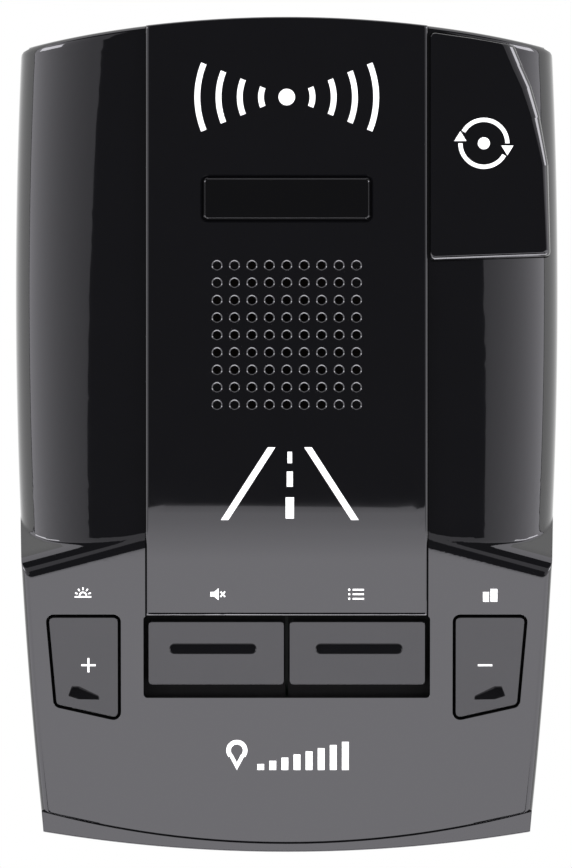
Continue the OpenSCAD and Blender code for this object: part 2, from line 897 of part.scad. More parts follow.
module laser_board() {
    color([0.02, 0.25, 0.12]) box(pod_x + 1.9, pod_front + 3, pod_seat, half_w - 7.2, pod_front + 23,
        pod_seat + 0.8);
}

module laser_sensors() {
    x = (pod_x + half_w - 5) / 2;
    z = pod_seat + 0.8;
    color([0.15, 0.05, 0.2]) for (end = [[pod_front + 4.4, -1], [pod_front + 21.6, 1]]) {
        box(x - 2.5, end[0] - 1.2, z, x + 2.5, end[0] + 1.2, z + 3.4);
        translate([x, end[0] + end[1] * 1.2, z + 1.7]) rotate([-90 * end[1], 0, 0])
            cylinder(h = 0.7, r = 1.4, $fn = small_fn);
    }
}

// Speaker: a revolved frame, its cone, its magnet and the gasket that glues it to the ceiling
gasket_t = 0.6;
cone_r = speaker_d / 2 - 2.3;
frame_top = ceiling_z - gasket_t;
frame_bottom = frame_top - 4;

module speaker_part(profile) {
    translate([0, speaker_y, 0]) rotate_extrude($fn = round_fn) polygon(profile);
}

module speaker_gasket() {
    color([0.1, 0.1, 0.1]) speaker_part([
        [cone_r, frame_top], [speaker_d / 2, frame_top], [speaker_d / 2, ceiling_z], [cone_r, ceiling_z]
    ]);
}

module speaker_frame() {
    t = frame_top;
    color([0.6, 0.6, 0.62]) speaker_part([
        [cone_r, t], [speaker_d / 2, t], [speaker_d / 2, t - 1], [speaker_d / 2 - 1.3, t - 1],
        [8, t - 3.4], [8, frame_bottom], [3.5, frame_bottom], [3.5, t - 3.6], [7.4, t - 3.6],
        [cone_r, t - 1.3]
    ]);
}

module speaker_cone() {
    t = frame_top;
    color([0.08, 0.08, 0.09]) speaker_part([
        [cone_r, t - 0.5], [cone_r, t - 0.8], [4.4, t - 3.2], [0, t - 2.4], [0, t - 2.1], [4.4, t - 2.9]
    ]);
}

module speaker_magnet() {
    color([0.3, 0.3, 0.32]) rod(0, speaker_y, ceiling_z - speaker_h, frame_bottom, 7, round_fn);
}

module power_jack() {
    leg_x = -board_half + 0.4;
    color([0.08, 0.08, 0.08]) difference() {
        union() {
            translate([jack_mouth_x, sockets_y, jack_z]) rotate([0, 90, 0])
                cylinder(h = jack_depth, r = jack_r, $fn = round_fn);
            box(jack_body_x, sockets_y - jack_body_half, jack_z - 3.4, leg_x + 1.4,
                sockets_y + jack_body_half, jack_z + 3.4);
            for (y = [-1, 1]) box(leg_x, sockets_y + 3 * y - 0.4, jack_z, leg_x + 0.8,
                sockets_y + 3 * y + 0.4, board_z);
        }
        translate([jack_mouth_x - past, sockets_y, jack_z]) rotate([0, 90, 0])
            cylinder(h = jack_depth + past, r = jack_bore_d / 2, $fn = round_fn);
    }
}

module usb_socket() {
    y0 = sockets_y - usb_w / 2;
    y1 = sockets_y + usb_w / 2;
    x0 = board_half - 1.6;
    color([0.72, 0.72, 0.74]) difference() {
        union() {
            box(x0, y0, usb_z, usb_mouth_x, y1, usb_z + usb_h);
            for (y = [y0, y1 - 0.8]) box(x0, y, usb_z, x0 + 1.2, y + 0.8, board_z);
        }
        box(usb_mouth_x - 8, y0 + usb_wall, usb_z + usb_wall, usb_mouth_x + past, y1 - usb_wall,
            usb_z + usb_h - usb_wall);
    }
}

module chip(x, y, w, l, h) {
    box(x - w / 2, y - l / 2, board_top, x + w / 2, y + l / 2, board_top + h);
}

module processor_chips() {
    color([0.08, 0.08, 0.08]) {
        chip(-12, board_front + 30, 9, 9, 1.2);
        chip(4, board_front + 17, 7, 7, 1);
        chip(-10, board_front + 12, 5, 4, 1);
        chip(17, speaker_y - 2, 5, 6, 1.4);
    }
}

module capacitors() {
    color([0.75, 0.76, 0.8]) for (p = [[-board_half + 5, -11], [-board_half + 5, -4], [board_half - 5, -9]])
        rod(p.x, speaker_y + p.y, board_top, board_top + 5.4, 2.5);
}

module backup_battery() {
    color([0.8, 0.8, 0.82]) rod(board_half - 10, board_front + 14, board_top, board_top + 3, 6, round_fn);
}

led_h = 1.2;

module light_guide() {
    color([0.85, 0.9, 0.95, 0.8]) box(-guide_half_x, lens_y - guide_half_y, board_top + led_h,
        guide_half_x, lens_y + guide_half_y, channel_z);
}

module indicator_leds() {
    color([0.95, 0.9, 0.6]) for (x = [-7, 0, 7]) chip(x, lens_y, 3, 2, led_h);
}

module bracket_catch() {
    y0 = rear_y - slot_depth;
    color([0.75, 0.75, 0.77]) difference() {
        box(-slot_w / 2, y0, slot_z - catch_t, slot_w / 2, rear_y - wall, slot_z);
        box(-3, y0 + 1.2, slot_z - 2 * catch_t, 3, y0 + 2.6, slot_z + past);
    }
}

// ---- Fasteners, feet and label ----

module housing_screws() {
    color([0.2, 0.2, 0.21]) for (p = screw_places) difference() {
        union() {
            rod(p.x, p.y, head_z, head_z + head_t, head_r, round_fn);
            rod(p.x, p.y, head_z, parting_z + screw_bite - 0.6, screw_r);
        }
        for (turn = [0, 90]) translate([p.x, p.y, head_z]) rotate(turn) cube([2.2, 0.5, 1.2], center = true);
    }
}

// Head up at z, shank down by l
module board_screw(z, l, r) {
    difference() {
        union() {
            rod(0, 0, z, z + 1.1, r + 0.9);
            rod(0, 0, z - l, z + 1.1, r);
        }
        for (turn = [0, 90]) translate([0, 0, z + 1.1]) rotate(turn) cube([1.8, 0.4, 1], center = true);
    }
}

module board_screws() {
    color([0.75, 0.72, 0.6]) {
        for (p = board_screw_places) translate([p.x, p.y, 0])
            board_screw(board_top, board_t + screw_bite - 1, board_screw_r);
        on_deck() for (x = [-1, 1], y = key_post_ys)
            translate([x * key_post_x, y, key_board_top - key_board_t]) mirror([0, 0, 1])
                board_screw(0, key_board_t + pilot_depth - 0.4, pilot_r);
    }
}

module rubber_feet() {
    color([0.06, 0.06, 0.06]) for (p = foot_places)
        rod(p.x, p.y, 0, housing_z + foot_sink, foot_d / 2, round_fn);
}

module rating_label() {
    color([0.75, 0.75, 0.75]) box(-label_w / 2, -label_l / 2, housing_z, label_w / 2, label_l / 2,
        housing_z + label_t);
}

lower_housing();
top_cover();
centre_panel();
indicator_lens();
pod_cover();
pod_rear_lens();
pod_front_lens();
display_bezel();
display_window();
display_module();
display_board();
display_ribbon();
mute_button();
prog_button();
plus_button();
minus_button();
mute_plunger();
prog_plunger();
plus_plunger();
minus_plunger();
key_board();
tact_switches();
main_board();
horn_antenna();
mixer_shield();
rf_shield();
gps_board();
gps_antenna();
laser_board();
laser_sensors();
speaker_frame();
speaker_cone();
speaker_magnet();
speaker_gasket();
power_jack();
usb_socket();
processor_chips();
capacitors();
backup_battery();
light_guide();
indicator_leds();
bracket_catch();
housing_screws();
board_screws();
rubber_feet();
rating_label();
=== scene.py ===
import json
import math

import bmesh
import bpy
from mathutils import Matrix, Vector

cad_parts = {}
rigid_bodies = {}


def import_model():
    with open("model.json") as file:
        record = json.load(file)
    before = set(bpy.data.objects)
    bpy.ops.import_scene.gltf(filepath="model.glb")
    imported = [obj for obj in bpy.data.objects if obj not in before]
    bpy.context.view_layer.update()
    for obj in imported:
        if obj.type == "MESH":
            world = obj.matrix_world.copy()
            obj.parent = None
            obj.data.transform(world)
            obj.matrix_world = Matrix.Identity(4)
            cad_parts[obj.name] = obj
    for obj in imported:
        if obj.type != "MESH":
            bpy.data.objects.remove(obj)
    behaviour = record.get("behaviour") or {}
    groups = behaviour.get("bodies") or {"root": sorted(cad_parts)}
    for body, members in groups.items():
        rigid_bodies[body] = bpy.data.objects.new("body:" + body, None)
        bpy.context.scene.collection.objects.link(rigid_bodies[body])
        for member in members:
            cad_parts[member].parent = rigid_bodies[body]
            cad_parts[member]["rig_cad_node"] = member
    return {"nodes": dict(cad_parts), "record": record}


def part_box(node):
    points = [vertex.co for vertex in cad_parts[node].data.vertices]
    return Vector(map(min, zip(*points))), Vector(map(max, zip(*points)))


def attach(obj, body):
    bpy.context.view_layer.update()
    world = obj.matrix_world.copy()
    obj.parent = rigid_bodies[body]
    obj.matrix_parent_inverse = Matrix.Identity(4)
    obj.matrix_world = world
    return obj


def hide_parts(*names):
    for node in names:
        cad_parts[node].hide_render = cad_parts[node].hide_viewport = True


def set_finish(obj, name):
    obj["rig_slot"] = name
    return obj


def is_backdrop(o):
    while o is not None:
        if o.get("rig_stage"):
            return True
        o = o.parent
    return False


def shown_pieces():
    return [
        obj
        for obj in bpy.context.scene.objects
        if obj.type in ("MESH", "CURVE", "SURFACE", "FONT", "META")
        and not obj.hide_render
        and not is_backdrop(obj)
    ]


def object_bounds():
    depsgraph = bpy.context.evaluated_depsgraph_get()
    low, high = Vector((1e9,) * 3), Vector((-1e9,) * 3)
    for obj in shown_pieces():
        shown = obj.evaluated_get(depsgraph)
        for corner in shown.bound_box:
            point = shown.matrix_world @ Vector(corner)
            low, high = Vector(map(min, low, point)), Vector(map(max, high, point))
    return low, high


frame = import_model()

bl_info = {
    "name": "Radar detector",
    "version": (1, 0, 0),
    "blender": (4, 5, 0),
    "location": "3D View > Sidebar > Detector",
    "description": "Outer pieces, finishes and studio of a radar detector, round its CAD frame",
    "category": "Object",
}

MM = 0.001
CAD_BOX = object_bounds()
LOW = Vector(CAD_BOX[0])
HIGH = Vector(CAD_BOX[1])

# Places that the frame gives
COVER_LOW, COVER_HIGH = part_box("top_cover")
PANEL_LOW, PANEL_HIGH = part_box("centre_panel")
POD_LOW, POD_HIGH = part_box("pod_cover")
GUIDE_LOW, GUIDE_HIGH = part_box("light_guide")
LENS_LOW, LENS_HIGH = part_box("indicator_lens")
CATCH_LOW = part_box("bracket_catch")[0]
SPEAKER = sum(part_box("speaker_gasket"), Vector()) / 2
HALF_W = COVER_HIGH.x
PARTING_Z = COVER_LOW.z
SEAM_X = PANEL_HIGH.x
PANEL_FRONT = PANEL_LOW.y
CHANNEL_Z = PANEL_LOW.z
CEILING_Z = CHANNEL_Z - 2 * MM
HOUSING_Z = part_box("lower_housing")[0].z

# Cover and panel
BEZEL_T = 1.2 * MM
WING_POWER = 2.6
CREASE = 0.3 * MM
PANEL_GAP = 0.1 * MM
HOLE_PITCH = 2.3 * MM
GRILLE_R = 11 * MM
POD_WALL = 1.3 * MM
# Slot for the windscreen bracket
SLOT_HALF = 11 * MM
SLOT_DEPTH = 5.6 * MM
SLOT_WALL = 1.1 * MM
SLOT_TOP = 24.4 * MM
# Room behind the bezel for the display
DISPLAY_HALF = 28 * MM
DISPLAY_DEPTH = 6.5 * MM
DISPLAY_Z = (4.5 * MM, 23.5 * MM)
# Keys: their well and a lip's depth, thickness and reach, in the deck's coordinates
WELL = (-18.92 * MM, -12.735 * MM, 18.92 * MM, -1.835 * MM)
KEY_EDGE = 0.05 * MM
KEY_LIP = 2.3 * MM
LIP_T = 0.8 * MM
LIP_REACH = 0.5 * MM
# Lower housing, in millimetres: case screws, feet, and the heights of the two sockets
SCREWS = [(28, 43), (-28, 43), (25, -43), (-25, -43)]
FEET = [(x, y) for x in (-24, 24) for y in (-33.2, 33.2)]
BOSS_R, HEAD_R, SHANK_R, FOOT_R, JACK_R = 3.4, 2.2, 1.0, 4.05, 3.1
JACK_Y, JACK_Z = 30, 8.6
USB_Z = (8.4 * MM, 12.2 * MM)
# Camera: height above the object, and the length that the picture's height covers there
CAMERA_RISE = 1.3
PICTURE_SPAN = 114.5 * MM


# ---------------------------------------------------------------- sizes and colours


class DetectorSizes(bpy.types.PropertyGroup):
    """Sizes of the outer pieces. Those that the frame knows take their defaults from it."""

    side_radius: bpy.props.FloatProperty(
        name="Side radius", description="Plan radius of the two long sides", default=680 * MM, unit="LENGTH")
    rear_radius: bpy.props.FloatProperty(
        name="Windscreen edge radius", description="Plan radius of the windscreen edge", default=153.7 * MM,
        unit="LENGTH")
    front_radius: bpy.props.FloatProperty(
        name="Display face radius", description="Plan radius of the display face", default=195 * MM,
        unit="LENGTH")
    seam_radius: bpy.props.FloatProperty(
        name="Bezel seam radius", description="Plan radius of the seam between cover and bezel",
        default=125 * MM, unit="LENGTH")
    widest: bpy.props.FloatProperty(
        name="Widest place", description="Distance of the widest place from the windscreen edge",
        default=36.2 * MM, unit="LENGTH")
    corner: bpy.props.FloatProperty(
        name="Corner radius", description="Plan radius of the four upright corners", default=1.1 * MM,
        unit="LENGTH")
    shoulder: bpy.props.FloatProperty(
        name="Shoulder", description="Rounding of the deck's long edges", default=1.2 * MM, unit="LENGTH")
    slope: bpy.props.FloatProperty(
        name="Deck slope", description="Fall of the key deck towards the driver", default=math.radians(7),
        subtype="ANGLE")
    bend_radius: bpy.props.FloatProperty(
        name="Deck bend", description="Radius between the level top and the deck", default=140 * MM,
        unit="LENGTH")
    bend_start: bpy.props.FloatProperty(
        name="Bend start", description="Distance of the bend from the display face", default=50.2 * MM,
        unit="LENGTH")
    wing_step: bpy.props.FloatProperty(
        name="Wing step", description="Step from the centre panel down to the wings", default=1 * MM,
        unit="LENGTH")
    wing_fall: bpy.props.FloatProperty(
        name="Wing fall", description="Fall of the wings from the panel to the outline", default=8 * MM,
        unit="LENGTH")
    ramp_start: bpy.props.FloatProperty(
        name="Ramp start", description="Distance of the ramps' upper edge from the display face",
        default=42 * MM, unit="LENGTH")
    ramp_run: bpy.props.FloatProperty(
        name="Ramp run", description="Length of a ramp for each unit that it falls", default=0.8)
    ramp_turn: bpy.props.FloatProperty(
        name="Ramp turn", description="Turn of the ramps in plan", default=math.radians(16), subtype="ANGLE")
    ramp_blend: bpy.props.FloatProperty(
        name="Ramp blend", description="Softness of the bend from the deck into the ramps", default=2.4 * MM,
        unit="LENGTH")
    wall: bpy.props.FloatProperty(
        name="Wall", description="Wall of both shells", default=2 * MM, unit="LENGTH")
    bottom_round: bpy.props.FloatProperty(
        name="Bottom rounding", description="Rounding of the lower edge", default=5 * MM, unit="LENGTH")


class DetectorColours(bpy.types.PropertyGroup):
    """Colours of the outer finishes."""

    gloss_black: bpy.props.StringProperty(
        name="Gloss black", description="Piano-black ABS, as an sRGB hex value", default="#08080A")
    satin_black: bpy.props.StringProperty(
        name="Satin black", description="Spark-textured ABS, as an sRGB hex value", default="#17171A")
    ink: bpy.props.StringProperty(
        name="Ink", description="White pad-printing ink, as an sRGB hex value", default="#F2F2F0")


def sizes():
    return bpy.context.scene.detector_sizes


def colours():
    return bpy.context.scene.detector_colours


# ---------------------------------------------------------------- the object's shape, as formulas


def arc_y(x, apex, radius, sign):
    """Y of an edge arc at x. Sign is 1 for a bulge towards the windscreen, -1 for the other way."""
    return apex - sign * (radius - math.sqrt(radius * radius - x * x))


def rear_y(x, inset=0.0):
    return arc_y(x, HIGH.y - inset, sizes().rear_radius - inset, 1)


def front_y(x, inset=0.0):
    return arc_y(x, LOW.y + inset, sizes().front_radius - inset, -1)


def seam_y(x, inset=0.0):
    return arc_y(x, LOW.y + BEZEL_T + inset, sizes().seam_radius - inset, -1)


def half_at(y, inset=0.0):
    """Half the width of the outline at y."""
    r = sizes().side_radius
    centre = HIGH.y - sizes().widest
    return math.sqrt((r - inset) ** 2 - (y - centre) ** 2) + HALF_W - r


def top_line(y):
    """Height of the panel and deck at y: level, then a bend, then the straight slope."""
    s = sizes()
    start = LOW.y + s.bend_start
    if y >= start:
        return HIGH.z
    reach = s.bend_radius * math.sin(s.slope)
    if y >= start - reach:
        return HIGH.z - s.bend_radius + math.sqrt(s.bend_radius ** 2 - (start - y) ** 2)
    straight = start - reach - y
    return HIGH.z - s.bend_radius * (1 - math.cos(s.slope)) - straight * math.tan(s.slope)


def smooth_min(a, b, k):
    h = max(k - abs(a - b), 0.0) / k
    return min(a, b) - h * h * k / 4


def smooth_max(a, b, k):
    return -smooth_min(-a, -b, k)


def wing_height(x, y):
    """Height of a wing: flat beside the panel, then falling ever faster to the outline."""
    s = sizes()
    r = math.hypot(abs(x) - (HALF_W - s.side_radius), y - (HIGH.y - s.widest))
    inner = s.side_radius - HALF_W + SEAM_X
    t = min(max((r - inner) / (s.side_radius - inner), 0.0), 1.0)
    return HIGH.z - s.wing_step - s.wing_fall * (1 - math.sqrt(1 - t ** WING_POWER))


def cover_height(x, y):
    """Height of the top cover: the deck, the wings and the ramps between them."""
    s = sizes()
    along = (abs(x) - SEAM_X) * math.sin(s.ramp_turn) + (y - LOW.y - s.ramp_start) * math.cos(s.ramp_turn)
    ramp = HIGH.z - along / s.ramp_run
    deck = smooth_min(top_line(y), ramp, s.ramp_blend)
    return min(top_line(y), smooth_max(wing_height(x, y), deck, CREASE))


def edge_fall(distance, radius):
    """How far a rounded edge has fallen at a distance in from it."""
    if distance >= radius:
        return 0.0
    d = radius - max(distance, 0.0)
    return radius - math.sqrt(max(radius * radius - d * d, 0.0))


# ---------------------------------------------------------------- modelling tools


def edit(obj):
    """Makes obj the only selected object, in edit mode, with everything selected."""
    finish_edit()
    bpy.ops.object.select_all(action="DESELECT")
    obj.select_set(True)
    bpy.context.view_layer.objects.active = obj
    bpy.ops.object.mode_set(mode="EDIT")
    bpy.ops.mesh.select_all(action="SELECT")
    return bmesh.from_edit_mesh(obj.data)


def finish_edit():
    if bpy.context.object and bpy.context.object.mode == "EDIT":
        bpy.ops.object.mode_set(mode="OBJECT")


def named(name):
    """The primitive that was just added, under its own name."""
    obj = bpy.context.object
    obj.name = name
    obj.data.name = name
    return obj


def fresh():
    """Leaves edit mode with nothing selected, ready for a new primitive."""
    finish_edit()
    bpy.ops.object.select_all(action="DESELECT")


def settle(obj):
    """Applies the object's place to its mesh and turns every face outwards."""
    edit(obj)
    bpy.ops.mesh.remove_doubles(threshold=0.001 * MM)
    bpy.ops.mesh.normals_make_consistent(inside=False)
    finish_edit()
    bpy.ops.object.transform_apply(location=True, rotation=True, scale=True)
    return obj


def modify(obj, kind, **settings):
    """Adds a modifier and applies it."""
    fresh()
    bpy.context.view_layer.objects.active = obj
    obj.select_set(True)
    m = obj.modifiers.new(kind.title(), kind)
    for key, value in settings.items():
        setattr(m, key, value)
    bpy.ops.object.modifier_apply(modifier=m.name)
    return obj


def cut(obj, *cutters, operation="DIFFERENCE"):
    """Cuts obj by each cutter in turn, and removes the cutters."""
    for cutter in cutters:
        modify(obj, "BOOLEAN", object=cutter, operation=operation, solver="EXACT")
        bpy.data.objects.remove(cutter)
    return obj


def clean_flats(obj, angle=0.05):
    """Dissolves the edges that lie inside flat faces."""
    edit(obj)
    bpy.ops.mesh.dissolve_limited(angle_limit=math.radians(angle))
    finish_edit()
    return obj


def smooth(obj, angle=35):
    fresh()
    bpy.context.view_layer.objects.active = obj
    obj.select_set(True)
    bpy.ops.object.shade_smooth_by_angle(angle=math.radians(angle))
    return modify(obj, "WEIGHTED_NORMAL", keep_sharp=True, weight=100)


def join(name, pieces):
    """Joins pieces into the first of them."""
    fresh()
    for p in pieces:
        p.select_set(True)
    bpy.context.view_layer.objects.active = pieces[0]
    bpy.ops.object.join()
    return named(name)


def copy_of(obj, name, offset=(0, 0, 0)):
    """A copy with its own mesh, moved by offset in the mesh itself."""
    new = obj.copy()
    new.data = obj.data.copy()
    new.name = name
    new.data.name = name
    new.data.transform(Matrix.Translation(offset))
    bpy.context.collection.objects.link(new)
    return new


def block(name, low, high):
    """A cuboid between two corners."""
    fresh()
    bpy.ops.mesh.primitive_cube_add(size=1, location=[(a + b) / 2 for a, b in zip(low, high)])
    obj = named(name)
    obj.scale = [b - a for a, b in zip(low, high)]
    return settle(obj)


def drum(name, centre, radius, z0, z1, vertices=48):
    """An upright cylinder."""
    fresh()
    bpy.ops.mesh.primitive_cylinder_add(vertices=vertices, radius=radius, depth=z1 - z0,
                                        location=(centre[0], centre[1], (z0 + z1) / 2))
    return settle(named(name))


def lay(obj, rings):
    """Shapes a filled circle into the first ring, then extrudes it from ring to ring."""
    bm = edit(obj)
    place = bm.verts.layers.int.new("place")
    bm.verts.ensure_lookup_table()
    for i, v in enumerate(bm.verts):
        v[place] = i
    for step, ring in enumerate(rings):
        if step:
            bpy.ops.mesh.extrude_region_move()
            bm = bmesh.from_edit_mesh(obj.data)
            place = bm.verts.layers.int["place"]
        for v in bm.verts:
            if v.select:
                v.co = ring[v[place]]
    bmesh.update_edit_mesh(obj.data)
    finish_edit()
    return settle(obj)


def loft(name, rings):
    """A closed solid through rings that all have the same number of points."""
    fresh()
    bpy.ops.mesh.primitive_circle_add(vertices=len(rings[0]), radius=MM, fill_type="NGON")
    return lay(named(name), rings)


def prism(name, outline, z0, z1):
    """An outline extruded between two heights."""
    return loft(name, [[(x, y, z) for x, y in outline] for z in (z0, z1)])


def corner_arc(before, corner, after, r, steps=6):
    """The points of a round corner, from the side of before to that of after."""
    b = Vector(corner)
    u, v = (Vector(before) - b).normalized(), (Vector(after) - b).normalized()
    half = math.acos(max(-1.0, min(1.0, u.dot(v)))) / 2
    centre = b + (u + v).normalized() * (r / math.sin(half))
    start = b + u * (r / math.tan(half)) - centre
    end = b + v * (r / math.tan(half)) - centre
    a0 = math.atan2(start.y, start.x)
    sweep = (math.atan2(end.y, end.x) - a0 + math.pi) % (2 * math.pi) - math.pi
    turns = [a0 + sweep * k / steps for k in range(steps + 1)]
    return [(centre.x + r * math.cos(a), centre.y + r * math.sin(a)) for a in turns]


def rounded(points, r, steps=6):
    """An outline with round corners."""
    count = len(points)
    return [p for i in range(count)
            for p in corner_arc(points[i - 1], points[i], points[(i + 1) % count], r, steps)]


def rectangle(x0, y0, x1, y1):
    return [(x0, y0), (x1, y0), (x1, y1), (x0, y1)]


def spread(stations, counts):
    """Values from station to station, with so many steps in each stretch."""
    out = [stations[0]]
    for a, b, n in zip(stations, stations[1:], counts):
        out += [a + (b - a) * (k + 1) / n for k in range(n)]
    return out


def field(name, columns, rows, place, base):
    """A solid with a curved top: a grid whose point (column, row) goes to place(column, row, 0), extruded
    down through the base's pairs (inset, z)."""
    fresh()
    bpy.ops.mesh.primitive_grid_add(x_subdivisions=len(columns) - 1, y_subdivisions=len(rows) - 1, size=2)
    obj = named(name)
    bm = edit(obj)
    spot = bm.verts.layers.int.new("spot")
    for v in bm.verts:
        i = round((v.co.x + 1) / 2 * (len(columns) - 1))
        j = round((v.co.y + 1) / 2 * (len(rows) - 1))
        v[spot] = i * len(rows) + j
        v.co = place(columns[i], rows[j], 0.0)
    for inset, z in base:
        bmesh.update_edit_mesh(obj.data)
        bpy.ops.mesh.extrude_region_move()
        bm = bmesh.from_edit_mesh(obj.data)
        spot = bm.verts.layers.int["spot"]
        for v in bm.verts:
            if v.select:
                x, y, _ = place(columns[v[spot] // len(rows)], rows[v[spot] % len(rows)], inset)
                v.co = (x, y, z)
    bmesh.update_edit_mesh(obj.data)
    finish_edit()
    return settle(obj)


def grow(outline, d):
    """The outline moved outwards by d, or inwards when d is negative."""
    count = len(outline)
    area = sum(outline[i - 1][0] * outline[i][1] - outline[i][0] * outline[i - 1][1] for i in range(count))
    turn = 1 if area > 0 else -1
    out = []
    for i in range(count):
        a, b, c = Vector(outline[i - 1]), Vector(outline[i]), Vector(outline[(i + 1) % count])
        u, v = (b - a).normalized(), (c - b).normalized()
        n = Vector((u.y, -u.x)) * turn
        m = Vector((v.y, -v.x)) * turn
        out.append(tuple(b + (n + m) * (d / (1 + n.dot(m)))))
    return out


def quarter(radius, steps=4):
    """Pairs (inset, drop) along a quarter round, from the wall's edge up to the flat."""
    turns = [math.pi / 2 * k / steps for k in range(steps + 1)]
    return [(radius * (1 - math.cos(a)), radius * (1 - math.sin(a))) for a in turns]


def deck_origin():
    """Y and Z of the deck's own origin, where the bend ends and the straight slope starts."""
    s = sizes()
    return (LOW.y + s.bend_start - s.bend_radius * math.sin(s.slope),
            HIGH.z - s.bend_radius * (1 - math.cos(s.slope)))


def on_deck(x, y, z):
    """Frame coordinates of a point given in the deck's own coordinates."""
    s = sizes().slope
    deck_y, deck_z = deck_origin()
    return (x, deck_y + y * math.cos(s) - z * math.sin(s), deck_z + y * math.sin(s) + z * math.cos(s))


def deck_loft(name, rings):
    return loft(name, [[on_deck(x, y, z) for x, y in outline] for outline, z in rings])


def deck_opening(name, outline, round_edge, depth=8 * MM):
    """A cutter for an opening in the deck, flared at the surface to leave a rounded edge."""
    rings = [(outline, -depth)] + [(grow(outline, out), -drop) for out, drop in quarter(round_edge)[:-1]]
    above = grow(outline, round_edge * 1.1)
    return deck_loft(name, rings + [(above, round_edge * 0.1), (above, depth)])


def lip_pocket(outline):
    """A cutter that clears a key's lip and its travel under the ceiling round an opening."""
    top = 0.05 * MM - sizes().wall
    return deck_loft("Lip_pocket", [(outline, -KEY_LIP - LIP_T - 2 * MM), (outline, top)])


# ---------------------------------------------------------------- top cover


def crowded(count):
    """Values from -1 to 1 that crowd towards both ends."""
    return [math.sin(math.pi / 2 * (2 * k / count - 1)) for k in range(count + 1)]


def case_point(u, v, inset):
    """A point of the case behind the seam. U and v run from -1 to 1 across and along it."""
    y = HIGH.y * v
    x = u * half_at(y, inset)
    for _ in range(4):
        rear, seam = rear_y(x, inset), seam_y(x, inset)
        y = seam + (rear - seam) * (v + 1) / 2
        half = half_at(y, inset)
        half -= edge_fall(rear_y(half, inset) - y, sizes().corner)
        x = u * half
    return x, y


def cover_point(u, v, inset):
    x, y = case_point(u, v, inset)
    s = sizes()
    z = cover_height(x, y)
    z = min(z, top_line(y) - edge_fall(half_at(y) - inset - abs(x), s.shoulder))
    z -= edge_fall(rear_y(x, inset) - y, 0.8 * MM) + edge_fall(y - seam_y(x, inset), 0.15 * MM)
    return x, y, z


def hollow_point(u, v, inset):
    """The ceiling inside the cover, a wall below its surface and below the channel and the pod's seat."""
    wall = sizes().wall
    x, y = case_point(u, v, wall + inset)
    z = cover_height(x, y) - wall
    if abs(x) < SEAM_X + wall and y > PANEL_FRONT - wall:
        z = min(z, CEILING_Z)
    if x > POD_LOW.x - wall and y > POD_LOW.y - wall:
        z = min(z, POD_LOW.z - wall)
    return x, y, z


def side_opening(side):
    """Outline of a side key's opening, in the deck's coordinates. Side is -1 for plus and 1 for minus."""
    points = [(21.92, -1.635), (31.87, -1.635), (30.8, -13.935), (21.92, -15.935)]
    return [(side * x * MM, y * MM) for x, y in rounded(points, 1.0)][::side]


def pod_corners():
    """Corners of the pod's plan, clockwise from the one by the seam towards the driver."""
    rear = [(x * MM, rear_y(x * MM, 0.8 * MM)) for x in (18.9, 24.5, 30.0)]
    side = [(31.0, 49.0), (32.3, 46.0), (33.4, 42.0), (34.5, 35.6), (34.8, 23.6)]
    return [(18.9 * MM, 23.0 * MM)] + rear + [(x * MM, y * MM) for x, y in side]


def pod_plan():
    return rounded(pod_corners(), 0.6 * MM)


def inset_edges(points, amounts):
    """A clockwise polygon with each edge moved inwards by its own amount. Edge k starts at point k. Where two
    edges are nearly in line, their corner moves by the mean of the two amounts."""
    count = len(points)
    out = []
    for k in range(count):
        here, before, after = Vector(points[k]), Vector(points[k - 1]), Vector(points[(k + 1) % count])
        d, e = (here - before).normalized(), (after - here).normalized()
        n, m = Vector((d.y, -d.x)), Vector((e.y, -e.x))
        cross = d.x * e.y - d.y * e.x
        if abs(cross) < 0.4:
            out.append(tuple(here + (n + m) * ((amounts[k - 1] + amounts[k]) / 2 / (1 + n.dot(m)))))
        else:
            gap = m * amounts[k] - n * amounts[k - 1]
            out.append(tuple(here + n * amounts[k - 1] + d * ((gap.x * e.y - gap.y * e.x) / cross)))
    return out


